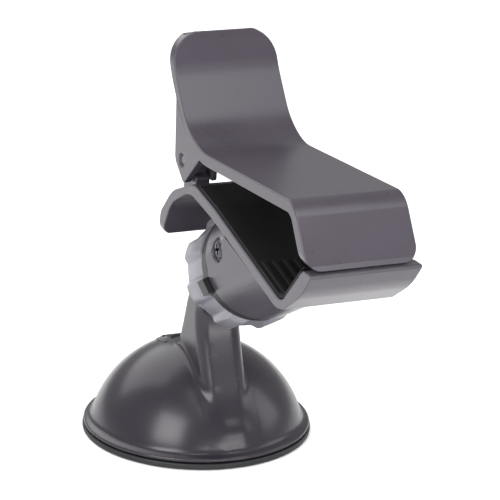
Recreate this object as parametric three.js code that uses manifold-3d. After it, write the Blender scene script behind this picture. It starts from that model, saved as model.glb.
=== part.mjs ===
// A phone mount for a car windscreen or dashboard: a suction base with a cam lever, an arm with a ball,
// a lobed lock nut, and a long sprung clip. Millimetres, +Z up, origin at the middle of the suction face.
// The clip's jaw tips point to -Y, which is called "front" below, and the clip's width lies along X.
import * as THREE from 'three';
import { mergeVertices } from 'three/addons/utils/BufferGeometryUtils.js';
import Module from 'manifold-3d';

const wasm = await Module();
wasm.setup();
const DEG = Math.PI / 180;
const ROUND = 40;                // facets round the base

// ---------------------------------------------------------------- driving dimensions
const SEAT_GAP = 0.3;            // between pieces that are fixed to each other
const RUN_GAP = 0.3;             // between pieces that move on each other

const BASE_RADIUS = 39;          // suction pad, outside
const PAD_RIM_HEIGHT = 2;
const PAD_SKIN = 1.4;            // pad under the pull rod's foot
const RIM_LEDGE = 2.3;           // flange that stands out beyond the dome
const DOME_SPHERE_DROP = 5.6;    // the dome's sphere is centred this far below the suction face
const DOME_WALL = 2.6;
const FLANGE_HEIGHT = 1.6;

const ROD_RADIUS = 2.6;
const ROD_FOOT_RADIUS = 18;
const ROD_FOOT_HEIGHT = 2;
const ROD_TRAVEL = 1.9;          // room under the foot for the release stroke
const ROD_HEAD_WIDTH = 5.6;
const GUIDE_WALL = 2;

const TRUNNION_RADIUS = 1.9;     // journals moulded on the lever's sides
const ROD_PIN_RADIUS = 1.5;
const LEVER_BEHIND = 8.2;        // lever's pivot, behind the base's axis
const LEVER_BELOW_TOP = 6.9;     // and below the dome's top
const LEVER_RANGE = 55;          // degrees, from locked to released
const CRANK = 2.2;               // rod pin, in front of the lever's pivot
const CAM_RADIUS = 4.2;
const LEVER_WIDTH = 14;
const LEVER_THICKNESS = 3.8;
const LEVER_TIP_LIFT = 1.6;       // the tip stands proud for a fingertip
const LEVER_START = 113;         // angle round the dome's sphere, from the front over the top
const LEVER_END = 157;
const SLOT_START = 98;
const SLOT_END = 160;
const BOSS_WIDTH = 3;            // bearings for the trunnions

const ARM_WIDTH = 15.7;
const ARM_WALL = 2.6;
const ARM_BULGE = 2.6;           // rounding of the arm's front

const CLIP_TILT = 28;            // the ball joint's axis rises this much to the front
const BALL_FRONT = 41.8;
const BALL_HEIGHT = 70.8;
const BALL_RADIUS = 9;
const NECK_RADIUS = 4.2;
const STUD_SHANK_RADIUS = 3.6;
const SEAT_WALL = 1.7;
const ARM_FACE = -17.4;          // along the ball joint's axis, from the ball's centre
const STUD_END = -26;
const NUT_FRONT = 3.7;
const NUT_REAR = -10.6;
const HUB_FACE = 9.4;

const THREAD_RADIUS = 13.6;
const NUT_RADIUS = 17.4;         // between the lobes
const LOBES = 8;
const LOBE_HEIGHT = 2;
const FIRST_LOBE = 152.5;        // angle round the axis, from +X
const NUT_HOLE_RADIUS = 9.8;
const COLLAR_RADIUS = 18.2;
const KEY_WIDTH = 5.2;           // tab that stands out from the collar
const KEY_REACH = 20.6;
const KEY_ANGLE = 197;

const HUB_RADIUS = 18.7;
const HUB_REAR_HALF = 18.45;     // half the width across the hub's sides, at the collar
const HUB_FRONT_HALF = 17.5;     // and at its front, where the sides are flat
const HUB_ROOM_HALF = 15.2;
const HUB_BORE = 16.2;
const SCREW_REACH = 19;          // hub screws, along the axis from the ball's centre
const SCREW_RISE = 3.8;         // and above the axis
const SCREW_HEAD_RADIUS = 2.95;
const SCREW_SHANK_RADIUS = 1.45;
const SCREW_POCKET_RADIUS = 3.9;
const SCREW_POCKET_DEPTH = 1.7;

const CLIP_WIDTH = 35.8;
const TONGUE_CORNER = 4.5;
const HANDLE_CORNER = 10;
const FACE_CORNER = 4.5;
const UPPER_WALL = 2.6;
const UPPER_EDGE = 3.9;          // depth of the upper jaw's rims
const RIM_WIDTH = 2.2;
const JAW_MEET = 96.6;           // height where the closed jaws' lips meet
const HINGE_FRONT = 25.5;
const HINGE_HEIGHT = 103.2;
const HINGE_PIN_RADIUS = 1.5;
const KNUCKLE_RADIUS = 5;
const EAR_WALL = 2.5;
const LUG_WIDTH = 4.7;
const INNER_EAR_WALL = 1.8;
const PAD_SHEET = 1;             // rubber sheets on the jaws
const GRIP_RIBS = 10;
const GRIP_RIB_HEIGHT = 0.8;
const GRIP_RIB_WIDTH = 1.5;

const WIRE_RADIUS = 0.8;
const COIL_RADIUS = 4.1;         // to the middle of the wire
const COIL_TURNS = 5;
const BUSH_WALL = 1;

// ---------------------------------------------------------------- worked-out places
const CLIP_HALF = CLIP_WIDTH / 2;
const DOME_RADIUS = Math.hypot(BASE_RADIUS - RIM_LEDGE, DOME_SPHERE_DROP + PAD_RIM_HEIGHT);
const DOME_TOP = DOME_RADIUS - DOME_SPHERE_DROP;
const DOME_INNER = DOME_RADIUS - DOME_WALL;
const LEVER_PIVOT = [-LEVER_BEHIND, DOME_TOP - LEVER_BELOW_TOP];
const ROD_PIN = [LEVER_PIVOT[0] + CRANK, LEVER_PIVOT[1]];
const SLOT_HALF = LEVER_WIDTH / 2 + 2 * RUN_GAP;
const LEVER_OUTER = DOME_RADIUS - 0.1;
const LEVER_INNER = LEVER_OUTER - LEVER_THICKNESS;
const SEAT_INNER = BALL_RADIUS + RUN_GAP;
const SEAT_OUTER = SEAT_INNER + SEAT_WALL;
const SOCKET_INNER = SEAT_OUTER + RUN_GAP;
const FINGER_END = -6;
const HUB_FRONT = 30;
const SCREW_HALF = HUB_REAR_HALF
  + (HUB_FRONT_HALF - HUB_REAR_HALF) * (SCREW_REACH - HUB_FACE) / (HUB_FRONT - HUB_FACE);
const TANG_END = SCREW_REACH + 3.5;
const LUG_OUT = CLIP_HALF - EAR_WALL - RUN_GAP;
const LUG_IN = LUG_OUT - LUG_WIDTH;
const INNER_EAR_OUT = LUG_IN - RUN_GAP;
const INNER_EAR_IN = INNER_EAR_OUT - INNER_EAR_WALL;

// Side-view frame: x to the front, y up, z across to -X.
const SIDE = new THREE.Matrix4().makeBasis(
  new THREE.Vector3(0, -1, 0), new THREE.Vector3(0, 0, 1), new THREE.Vector3(-1, 0, 0));
// Ball-joint frame: z along the joint's axis to the front, x across, y up and back, origin in the ball.
const JOINT = new THREE.Matrix4()
  .makeRotationX(Math.PI / 2 - CLIP_TILT * DEG)
  .setPosition(0, -BALL_FRONT, BALL_HEIGHT);
const JOINT_TO_SIDE = SIDE.clone().invert().multiply(JOINT);

// ---------------------------------------------------------------- shape helpers
function solid(geometry, matrix) {
  const plain = geometry.clone();
  plain.deleteAttribute('normal');
  plain.deleteAttribute('uv');
  if (matrix) plain.applyMatrix4(matrix);
  const merged = mergeVertices(plain, 1e-4);
  return new wasm.Manifold(new wasm.Mesh({
    numProp: 3,
    vertProperties: new Float32Array(merged.attributes.position.array),
    triVerts: new Uint32Array(merged.index.array),
  }));
}

function surface(manifold) {
  const mesh = manifold.getMesh();
  const geometry = new THREE.BufferGeometry();
  geometry.setAttribute('position', new THREE.BufferAttribute(mesh.vertProperties, 3));
  geometry.setIndex(new THREE.BufferAttribute(mesh.triVerts, 1));
  const faceted = geometry.toNonIndexed();
  faceted.computeVertexNormals();
  return faceted;
}

// A closed outline from corners [x, y, radius]: a corner with a radius becomes an arc.
function outline(corners) {
  const shape = new THREE.Shape();
  const count = corners.length;
  corners.forEach(([x, y, radius = 0], index) => {
    const corner = new THREE.Vector2(x, y);
    const [bx, by] = corners[(index + count - 1) % count];
    const [nx, ny] = corners[(index + 1) % count];
    const back = new THREE.Vector2(bx, by).sub(corner).normalize();
    const ahead = new THREE.Vector2(nx, ny).sub(corner).normalize();
    if (radius === 0) {
      if (index === 0) shape.moveTo(x, y);
      else shape.lineTo(x, y);
      return;
    }
    const half = Math.acos(back.dot(ahead)) / 2;
    const start = corner.clone().addScaledVector(back, radius / Math.tan(half));
    const end = corner.clone().addScaledVector(ahead, radius / Math.tan(half));
    const bisector = back.clone().add(ahead).normalize();
    const centre = corner.clone().addScaledVector(bisector, radius / Math.sin(half));
    const from = Math.atan2(start.y - centre.y, start.x - centre.x);
    const to = Math.atan2(end.y - centre.y, end.x - centre.x);
    const clockwise = back.cross(ahead) > 0;
    shape.absarc(centre.x, centre.y, radius, from, to, clockwise);
  });
  return shape;
}

// The corners of an open line moved sideways to its right, with their arcs kept concentric.
function shifted(corners, distance) {
  const last = corners.length - 1;
  return corners.map(([x, y, radius = 0], index) => {
    const [bx, by] = corners[Math.max(index - 1, 0)];
    const [nx, ny] = corners[Math.min(index + 1, last)];
    const before = new THREE.Vector2(x - bx, y - by).normalize();
    const after = new THREE.Vector2(nx - x, ny - y).normalize();
    const arriving = index === 0 ? after : before;
    const leaving = index === last ? before : after;
    const normal = new THREE.Vector2(arriving.y + leaving.y, -arriving.x - leaving.x).normalize();
    const stretch = distance / Math.cos(Math.acos(Math.min(arriving.dot(leaving), 1)) / 2);
    const turnsLeft = arriving.cross(leaving) > 0;
    const moved = radius === 0 ? 0 : Math.max(radius + (turnsLeft ? distance : -distance), 0.2);
    return [x + normal.x * stretch, y + normal.y * stretch, moved];
  });
}

// The strip between two lines parallel to an open line, as a closed outline.
function strip(corners, near, far) {
  return outline([...shifted(corners, far), ...shifted(corners, near).reverse()]);
}

// A side-view outline made solid across the width, between two places on X.
function across(shape, fromX, toX, curveSegments = 4) {
  const settings = { depth: toX - fromX, bevelEnabled: false, steps: 1, curveSegments };
  return new THREE.ExtrudeGeometry(shape, settings).translate(0, 0, -toX);
}

// The same on both sides of the middle, between two distances from it.
function bothSides(shape, near, far, matrix) {
  return solid(across(shape, near, far), matrix).add(solid(across(shape, -far, -near), matrix));
}

function turned(profile, segments = 48) {
  const points = profile.map(([radius, height]) => new THREE.Vector2(radius, height));
  return new THREE.LatheGeometry(points, segments).rotateX(Math.PI / 2);
}

// A plain round bar along z, between two heights.
function bar(radius, from, to, segments = 24) {
  return new THREE.CylinderGeometry(radius, radius, to - from, segments)
    .rotateX(Math.PI / 2)
    .translate(0, 0, (from + to) / 2);
}

// A round bar across the width, in the side view.
function crossBar(radius, [x, y], fromX, toX, segments = 24) {
  return bar(radius, -toX, -fromX, segments).translate(x, y, 0);
}

function block([x0, y0, z0], [x1, y1, z1]) {
  return new THREE.BoxGeometry(x1 - x0, y1 - y0, z1 - z0)
    .translate((x0 + x1) / 2, (y0 + y1) / 2, (z0 + z1) / 2);
}

function arcPoints(radius, fromDeg, toDeg, steps) {
  return Array.from({ length: steps + 1 }, (_, i) => {
    const angle = (fromDeg + (toDeg - fromDeg) * i / steps) * DEG;
    return [radius * Math.cos(angle), radius * Math.sin(angle)];
  });
}

// ---------------------------------------------------------------- materials
const PLASTIC_COLOUR = '#55525c';
const RUBBER_COLOUR = '#17171a';

function plastic(shade = PLASTIC_COLOUR) {
  return new THREE.MeshStandardMaterial({ color: shade, roughness: 0.38, metalness: 0 });
}

function rubber() {
  return new THREE.MeshStandardMaterial({ color: RUBBER_COLOUR, roughness: 0.8, metalness: 0 });
}

function steel() {
  return new THREE.MeshStandardMaterial({ color: '#b9babf', roughness: 0.3, metalness: 1 });
}

function named(name, geometry, material) {
  const mesh = new THREE.Mesh(geometry, material);
  mesh.name = name;
  return mesh;
}

// ---------------------------------------------------------------- base
// The soft pad is flat below. Its raised boss holds the pull rod's foot under a lip.
const FOOT_BOTTOM = PAD_SKIN + ROD_TRAVEL + SEAT_GAP;
const FOOT_TOP = FOOT_BOTTOM + ROD_FOOT_HEIGHT;

function suctionPad() {
  const edge = 0.6;
  const bossRadius = ROD_FOOT_RADIUS + SEAT_GAP + 2.2;
  const pocketRadius = ROD_FOOT_RADIUS + SEAT_GAP;
  const lipRadius = ROD_FOOT_RADIUS - 3;
  const lipBottom = FOOT_TOP + SEAT_GAP;
  const lipTop = lipBottom + 1.2;
  return solid(turned([
    [0, 0],
    [BASE_RADIUS - edge, 0],
    [BASE_RADIUS, edge],
    [BASE_RADIUS, PAD_RIM_HEIGHT],
    [BASE_RADIUS - 5, PAD_RIM_HEIGHT],
    [bossRadius + 3, PAD_RIM_HEIGHT + 1],
    [bossRadius, lipTop],
    [lipRadius, lipTop],
    [lipRadius, lipBottom],
    [pocketRadius, lipBottom],
    [pocketRadius, PAD_SKIN],
    [0, PAD_SKIN],
  ], ROUND));
}

// Foot, shaft and cranked head. The head's eye is longer than the pin's swing to the rear.
function pullRod() {
  const eyeRadius = ROD_PIN_RADIUS + RUN_GAP;
  const headBottom = LEVER_PIVOT[1] - 3.4;
  const headTop = LEVER_PIVOT[1] + eyeRadius + 0.9;
  const swing = CRANK * (1 - Math.cos(LEVER_RANGE * DEG));
  const headBack = ROD_PIN[0] - swing - eyeRadius - 1.2;
  const halfHead = ROD_HEAD_WIDTH / 2;
  const foot = solid(turned([[0, FOOT_BOTTOM], [ROD_FOOT_RADIUS, FOOT_BOTTOM],
    [ROD_FOOT_RADIUS, FOOT_TOP], [0, FOOT_TOP]], 28));
  const shaft = solid(bar(ROD_RADIUS, FOOT_BOTTOM + 0.5, headBottom + 1));
  const head = solid(block([-halfHead, -ROD_RADIUS, headBottom], [halfHead, -headBack, headTop]));
  const frontEye = solid(crossBar(eyeRadius, ROD_PIN, -9, 9), SIDE);
  const rearEye = solid(crossBar(eyeRadius, [ROD_PIN[0] - swing, ROD_PIN[1]], -9, 9), SIDE);
  const between = solid(block(
    [-9, -ROD_PIN[0], ROD_PIN[1] - eyeRadius], [9, swing - ROD_PIN[0], ROD_PIN[1] + eyeRadius]));
  return foot.add(shaft).add(head).subtract(frontEye).subtract(rearEye).subtract(between);
}

// The arm in side view: rear edge, head round the ball stud, and the front edge down into the dome.
const ARM_FRONT = [[17.4, 48.5], [17.6, 42], [21, 32], [26.4, 19], [32.4, 9], [33.6, 4.5]];

function armSide() {
  const cos = Math.cos(CLIP_TILT * DEG);
  const sin = Math.sin(CLIP_TILT * DEG);
  const onAxis = (along, above) => [
    BALL_FRONT + along * cos - above * sin,
    BALL_HEIGHT + along * sin + above * cos,
  ];
  const [lowX, lowY] = onAxis(ARM_FACE, -8.4);
  const [highX, highY] = onAxis(ARM_FACE, 5.6);
  const [rearX, rearY] = onAxis(ARM_FACE - 11, 5.2);
  return outline([
    [0.6, DOME_TOP - 6],
    [30, DOME_TOP - 20],
    [27, 19],
    [21.2, 32],
    [17.6, 42, 20],
    [17.6, 48.5, 5],
    [lowX, lowY, 1.2],
    [highX, highY, 1.2],
    [rearX, rearY, 4],
    [7.6, 50, 12],
    [3.6, 39, 12],
    [0.6, DOME_TOP - 2],
  ]);
}

// The arm's rounded front: a D-section swept down the front edge.
function armFront() {
  const half = ARM_WIDTH / 2;
  const depth = 5;
  const section = new THREE.Shape();
  section.moveTo(-half, depth);
  section.lineTo(-half, 0);
  section.quadraticCurveTo(-half + 0.6, -ARM_BULGE, 0, -ARM_BULGE);
  section.quadraticCurveTo(half - 0.6, -ARM_BULGE, half, 0);
  section.lineTo(half, depth);
  section.closePath();
  const points = [...ARM_FRONT].reverse().map(([x, y]) => new THREE.Vector3(x, y, 0));
  const extrudePath = new THREE.CatmullRomCurve3(points);
  return new THREE.ExtrudeGeometry(section, { extrudePath, steps: 8, curveSegments: 4 });
}

function domeShell() {
  const flangeOut = BASE_RADIUS - 0.3;
  const flangeLow = PAD_RIM_HEIGHT + SEAT_GAP;
  const flangeTop = flangeLow + FLANGE_HEIGHT;
  const angleAt = (radius, height) => Math.asin((height + DOME_SPHERE_DROP) / radius) / DEG;
  const lower = ([radius, height]) => [radius, height - DOME_SPHERE_DROP];
  const outside = arcPoints(DOME_RADIUS, 90, angleAt(DOME_RADIUS, flangeTop + 2), 9).map(lower);
  const inside = arcPoints(DOME_INNER, angleAt(DOME_INNER, flangeLow), 90, 8).map(lower);
  const foot = outside[outside.length - 1][0];
  outside[0][0] = 0;
  inside[inside.length - 1][0] = 0;
  return solid(turned([
    ...outside,
    [foot + 0.4, flangeTop + 0.9],
    [foot + 1.1, flangeTop + 0.2],
    [flangeOut - 0.5, flangeTop],
    [flangeOut, flangeTop - 0.5],
    [flangeOut, flangeLow],
    ...inside,
  ].reverse(), ROUND));
}

function innerBall(radius) {
  const profile = arcPoints(radius, -90, 90, 20).map(([r, z]) => [r, z - DOME_SPHERE_DROP]);
  profile[0][0] = 0;
  profile[profile.length - 1][0] = 0;
  return solid(turned(profile, ROUND));
}

// The slot runs round the dome's rear between two angles, through its wall.
function leverSlot() {
  const near = arcPoints(DOME_RADIUS + 6, SLOT_START, SLOT_END, 4);
  const far = arcPoints(DOME_INNER - 1.5, SLOT_END, SLOT_START, 9);
  const side = outline([...near, ...far].map(([x, y]) => [x, y - DOME_SPHERE_DROP]));
  return solid(across(side, -SLOT_HALF, SLOT_HALF), SIDE);
}

// A tube guides the rod. Three ribs hold it to the dome.
function rodGuide() {
  const top = LEVER_PIVOT[1] - 6.4;
  const bottom = 12;
  const bore = ROD_RADIUS + RUN_GAP;
  const rib = 0.9;
  const ribStart = bore + 0.6;
  const tube = solid(turned([
    [bore, bottom], [bore + GUIDE_WALL, bottom], [bore + GUIDE_WALL, top], [bore, top], [bore, bottom],
  ], 20));
  const ribs = solid(block([-DOME_INNER, -rib, bottom + 1], [-ribStart, rib, DOME_TOP]))
    .add(solid(block([ribStart, -rib, bottom + 1], [DOME_INNER, rib, DOME_TOP])))
    .add(solid(block([-rib, -DOME_INNER, bottom + 1], [rib, -ribStart, DOME_TOP])));
  const headRoom = solid(block([-SLOT_HALF - 0.5, -6, top], [SLOT_HALF + 0.5, 30, DOME_TOP]));
  return tube.add(ribs.subtract(headRoom).intersect(innerBall(DOME_INNER + 0.8)));
}

// Two bearings hang from the dome beside the slot and hold the lever's trunnions.
function leverBosses() {
  const [x, y] = LEVER_PIVOT;
  const reach = TRUNNION_RADIUS + RUN_GAP + 1.8;
  const boss = outline([[x - reach, y - reach, 2], [x + reach, y - reach, 2],
    [x + reach, DOME_TOP], [x - reach, DOME_TOP]]);
  return bothSides(boss, SLOT_HALF, SLOT_HALF + BOSS_WIDTH, SIDE)
    .intersect(innerBall(DOME_INNER + 0.8));
}

// Dome, arm, rod guide and lever bearings are one moulding.
function baseDome() {
  const arm = solid(across(armSide(), -ARM_WIDTH / 2, ARM_WIDTH / 2), SIDE)
    .add(solid(armFront(), SIDE))
    .subtract(innerBall(DOME_INNER));
  const hollowSide = outline([[4, DOME_TOP - 8], [22, DOME_TOP - 17], [20, 27], [15, 41, 3],
    [9.6, 46, 3], [6.6, 38, 6], [4, DOME_TOP - 3]]);
  const hollowHalf = ARM_WIDTH / 2 - ARM_WALL;
  const hollow = solid(across(hollowSide, -hollowHalf, hollowHalf), SIDE);
  const studHole = solid(bar(STUD_SHANK_RADIUS + SEAT_GAP, STUD_END - SEAT_GAP, 0), JOINT);
  const screwHole = solid(bar(SCREW_SHANK_RADIUS + SEAT_GAP, -60, STUD_END + 1), JOINT);
  const headPocket = solid(bar(SCREW_HEAD_RADIUS + 0.5, -60, STUD_END - 4.2), JOINT);
  const trunnions = solid(crossBar(TRUNNION_RADIUS + RUN_GAP, LEVER_PIVOT, -30, 30), SIDE);
  return domeShell().add(arm).add(rodGuide()).add(leverBosses())
    .subtract(hollow).subtract(studHole).subtract(screwHole).subtract(headPocket)
    .subtract(leverSlot()).subtract(trunnions);
}

// ---------------------------------------------------------------- cam lever
// Lies flush in the dome's rear slot. Its forked head turns on two trunnions and carries the rod pin.
function lockLever() {
  const fromCentre = ([x, y]) => [x, y - DOME_SPHERE_DROP];
  const skin = arcPoints(LEVER_OUTER, LEVER_START, LEVER_END - 8, 10).map(fromCentre);
  const tip = arcPoints(LEVER_OUTER + LEVER_TIP_LIFT, LEVER_END - 4, LEVER_END, 1).map(fromCentre);
  const back = arcPoints(LEVER_INNER, LEVER_END, LEVER_START + 6, 9).map(fromCentre);
  const [pivotX, pivotY] = LEVER_PIVOT;
  const neck = outline([
    [pivotX - 0.5, pivotY + CAM_RADIUS - 0.2],
    [pivotX - 1.5, pivotY - CAM_RADIUS + 0.4],
    back[back.length - 1],
    skin[0],
  ]);
  const half = LEVER_WIDTH / 2;
  const journal = half + RUN_GAP + BOSS_WIDTH;
  const forkHalf = ROD_HEAD_WIDTH / 2 + RUN_GAP;
  const forkEnd = pivotX - CAM_RADIUS - 1.5;
  const fork = across(outline([[forkEnd, 0], [10, 0], [10, 60], [forkEnd, 60]]), -forkHalf, forkHalf);
  return solid(across(outline([...skin, ...tip, ...back]), -half, half))
    .add(solid(across(neck, -half, half)))
    .add(solid(crossBar(CAM_RADIUS, LEVER_PIVOT, -half, half)))
    .add(solid(crossBar(TRUNNION_RADIUS, LEVER_PIVOT, -journal, journal)))
    .subtract(solid(fork))
    .subtract(solid(crossBar(ROD_PIN_RADIUS + SEAT_GAP, ROD_PIN, -half + 0.8, half - 0.8)));
}

function rodPin() {
  const half = LEVER_WIDTH / 2 - 0.8 - SEAT_GAP;
  return solid(crossBar(ROD_PIN_RADIUS, ROD_PIN, -half, half));
}

// ---------------------------------------------------------------- ball joint, in the joint's frame
function ballStud() {
  const neckTop = -Math.sqrt(BALL_RADIUS ** 2 - NECK_RADIUS ** 2);
  const flange = 1.4;
  const ball = arcPoints(BALL_RADIUS, 90, Math.atan2(neckTop, NECK_RADIUS) / DEG, 10);
  ball[0][0] = 0;
  const pilot = SCREW_SHANK_RADIUS + SEAT_GAP;
  const profile = [
    ...ball,
    [NECK_RADIUS, ARM_FACE + SEAT_GAP + flange],
    [NECK_RADIUS + 1.8, ARM_FACE + SEAT_GAP + flange],
    [NECK_RADIUS + 1.8, ARM_FACE + SEAT_GAP],
    [STUD_SHANK_RADIUS, ARM_FACE + SEAT_GAP],
    [STUD_SHANK_RADIUS, STUD_END],
    [pilot, STUD_END],
    [pilot, ARM_FACE - 1],
    [0, ARM_FACE - 1],
  ];
  return solid(turned(profile.reverse(), 28));
}

// A pan-head screw along z: the shank points up, the head is below.
function screw(headBottom, headHeight, tip) {
  const seat = headBottom + headHeight;
  const body = solid(turned([
    [0, headBottom],
    [SCREW_HEAD_RADIUS - 0.6, headBottom],
    [SCREW_HEAD_RADIUS, headBottom + 0.6],
    [SCREW_HEAD_RADIUS, seat],
    [SCREW_SHANK_RADIUS, seat],
    [SCREW_SHANK_RADIUS, tip - 1.2],
    [0, tip],
  ], 20));
  const depth = headHeight * 0.6;
  const arm = 1.8;
  const thin = 0.45;
  const crossA = solid(block([-arm, -thin, headBottom - 1], [arm, thin, headBottom + depth]));
  const crossB = solid(block([-thin, -arm, headBottom - 1], [thin, arm, headBottom + depth]));
  return body.subtract(crossA).subtract(crossB);
}

function studScrew() {
  return screw(STUD_END - 4.2 - SEAT_GAP - 2, 2, ARM_FACE - 1 - SEAT_GAP);
}

// A nylon cup between ball and socket, spherical inside and outside, open behind for the neck.
function ballSeat() {
  const rim = -4.5;
  const angle = (radius) => Math.asin(rim / radius) / DEG;
  const front = 62;
  const inner = arcPoints(SEAT_INNER, angle(SEAT_INNER), front, 6);
  const outer = arcPoints(SEAT_OUTER, front, angle(SEAT_OUTER), 6);
  return solid(turned([...outer, ...inner, outer[0]].reverse(), 28));
}

// Collar with slit fingers inside the nut, an index tab, and a plug with two tangs inside the hub.
function socket() {
  const plugEnd = SOCKET_INNER + 2.6;
  const mouth = Math.sqrt(SOCKET_INNER ** 2 - FINGER_END ** 2);
  const cavity = arcPoints(SOCKET_INNER, 90, Math.asin(FINGER_END / SOCKET_INNER) / DEG, 9);
  cavity[0][0] = 0;
  const plugRadius = HUB_BORE - SEAT_GAP;
  const plugHalf = HUB_ROOM_HALF - SEAT_GAP;
  const collarRear = NUT_FRONT + RUN_GAP;
  const collarFront = HUB_FACE - SEAT_GAP;
  const grooveFloor = collarRear + 1.8;
  const grooveNear = SOCKET_INNER + 0.7;
  const grooveFar = plugRadius - 1.7;
  const body = solid(turned([
    ...cavity,
    [mouth + 1.2, FINGER_END],
    [THREAD_RADIUS - 1.4, FINGER_END],
    [THREAD_RADIUS, FINGER_END + 1.6],
    [THREAD_RADIUS, collarRear],
    [COLLAR_RADIUS, collarRear],
    [COLLAR_RADIUS, collarFront],
    [plugRadius, collarFront],
    [plugRadius, plugEnd],
    [grooveFar, plugEnd],
    [grooveFar, grooveFloor],
    [grooveNear, grooveFloor],
    [grooveNear, plugEnd],
    [0, plugEnd],
  ], 36));
  const flats = solid(block([plugHalf, -30, collarFront], [30, 30, 60]))
    .add(solid(block([-30, -30, collarFront], [-plugHalf, 30, 60])));
  const tangBelow = SCREW_RISE - 4.6;
  const tangAbove = SCREW_RISE + 3.4;
  const tangInner = 8;
  const tangs = solid(block([-plugHalf, tangBelow, plugEnd - 1], [-tangInner, tangAbove, TANG_END]))
    .add(solid(block([tangInner, tangBelow, plugEnd - 1], [plugHalf, tangAbove, TANG_END])))
    .intersect(solid(bar(plugRadius, 0, TANG_END + 1, 36)));
  const pilot = solid(new THREE.CylinderGeometry(
    SCREW_SHANK_RADIUS + SEAT_GAP, SCREW_SHANK_RADIUS + SEAT_GAP, 3 * HUB_BORE, 20)
    .rotateZ(Math.PI / 2).translate(0, SCREW_RISE, SCREW_REACH));
  const slit = 0.8;
  const far = THREAD_RADIUS + 1;
  const slits = solid(block([-far, -slit, FINGER_END - 1], [far, slit, NUT_FRONT - 0.3]))
    .add(solid(block([-slit, -far, FINGER_END - 1], [slit, far, NUT_FRONT - 0.3])));
  const halfKey = KEY_WIDTH / 2;
  const key = solid(block([COLLAR_RADIUS - 2, -halfKey, collarRear], [KEY_REACH, halfKey, collarFront])
    .rotateZ(KEY_ANGLE * DEG));
  return body.subtract(flats).add(tangs).subtract(pilot).subtract(slits).add(key);
}

// Finger lobes round a threaded ring. The cone behind the thread squeezes the socket's fingers.
function lockNut() {
  const perLobe = 14;
  const shape = new THREE.Shape();
  for (let i = 0; i < LOBES * perLobe; i += 1) {
    const angle = FIRST_LOBE * DEG + 2 * Math.PI * i / (LOBES * perLobe);
    const wave = Math.cos(2 * Math.PI * i / perLobe);
    const radius = NUT_RADIUS + LOBE_HEIGHT * (0.5 + 0.5 * Math.tanh(3.2 * (wave - 0.1)));
    const point = [radius * Math.cos(angle), radius * Math.sin(angle)];
    if (i === 0) shape.moveTo(...point);
    else shape.lineTo(...point);
  }
  const height = NUT_FRONT - NUT_REAR;
  const lobed = solid(new THREE.ExtrudeGeometry(shape, { depth: height, bevelEnabled: false })
    .translate(0, 0, NUT_REAR));
  const tip = NUT_RADIUS + LOBE_HEIGHT;
  const chamfer = 1.2;
  const envelope = solid(turned([
    [0, NUT_REAR],
    [tip - chamfer * 1.8, NUT_REAR],
    [tip + 0.2, NUT_REAR + chamfer * 1.2],
    [tip + 0.2, NUT_FRONT - chamfer * 2],
    [tip - chamfer * 0.8, NUT_FRONT],
    [0, NUT_FRONT],
  ], 36));
  const coneTop = FINGER_END - 0.6;
  const wall = NUT_REAR + 2;
  const bore = solid(turned([
    [0, NUT_REAR - 1],
    [NUT_HOLE_RADIUS, NUT_REAR - 1],
    [NUT_HOLE_RADIUS, wall],
    [THREAD_RADIUS - 1.6, wall],
    [THREAD_RADIUS + RUN_GAP, coneTop + 1.4],
    [THREAD_RADIUS + RUN_GAP, NUT_FRONT + 1],
    [0, NUT_FRONT + 1],
  ], 36));
  return lobed.intersect(envelope).subtract(bore);
}

// ---------------------------------------------------------------- clip, in side view
// The lower jaw's upper surface, from the tongue's tip over the crest into the V and up the lip.
const LOWER_SIDE = [
  [6.6, 73, 1],
  [9.2, 73.4, 1],
  [17, 86.4, 14],
  [32, 94.6, 14],
  [53, 91.2, 40],
  [104.6, 78.6, 10],
  [119.4, 88.4, 26],
  [126, JAW_MEET - 0.1, 0.8],
  [119.7, JAW_MEET - 0.2, 0.8],
  [105.4, 82, 6],
  [53.5, 95, 50],
  [35.8, 98.2, 8],
  [17.6, 91, 16],
  [7.6, 81, 6],
];
const LOWER_INSIDE = [[35.8, 98.2, 0], [53.5, 95, 50], [105.4, 82, 6], [119.7, JAW_MEET - 0.2, 0]];
const UNDERSIDE = [[53, 91.2], [104.6, 78.6]];
// The upper jaw's outer surface, from the handle's top to the front lip.
const UPPER_SIDE = [
  [14.2, 142, 0],
  [17.8, 131.2, 26],
  [33.2, 109.8, 22],
  [111.9, 114.6, 8],
  [122.4, 98.2, 2],
  [124.6, 96, 0],
];
const HINGE = [HINGE_FRONT, HINGE_HEIGHT];

// Everything below the lower jaw's sloping plate, from its rear bend on.
function belowPlate(drop) {
  const [[x0, y0], [x1, y1]] = UNDERSIDE;
  const slope = (y1 - y0) / (x1 - x0);
  const height = (x) => y0 + slope * (x - x0) - drop;
  return outline([[10, 20], [110, 20], [110, height(110)], [x0, y0 - drop], [36, y0 - drop + 2.1], [10, y0 + 2]]);
}

// The drum under the lower jaw takes the socket's plug. It is round at the collar and its sides
// draw in to flats towards the front.
function hub() {
  const sides = outline([
    [-HUB_REAR_HALF, HUB_FACE], [HUB_REAR_HALF, HUB_FACE], [HUB_FRONT_HALF, HUB_FRONT],
    [HUB_FRONT_HALF, 90], [-HUB_FRONT_HALF, 90], [-HUB_FRONT_HALF, HUB_FRONT],
  ]);
  const wedge = solid(new THREE.ExtrudeGeometry(sides, { depth: 120, bevelEnabled: false })
    .rotateX(Math.PI / 2).translate(0, 60, 0), JOINT_TO_SIDE);
  return solid(bar(HUB_RADIUS, HUB_FACE, 90, 48), JOINT_TO_SIDE)
    .intersect(wedge)
    .intersect(solid(across(belowPlate(-1.5), -HUB_RADIUS, HUB_RADIUS)));
}

function hubRoom() {
  return solid(bar(HUB_BORE, HUB_FACE - 1, 90, 36), JOINT_TO_SIDE)
    .intersect(solid(across(belowPlate(0), -HUB_ROOM_HALF, HUB_ROOM_HALF)));
}

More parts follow.
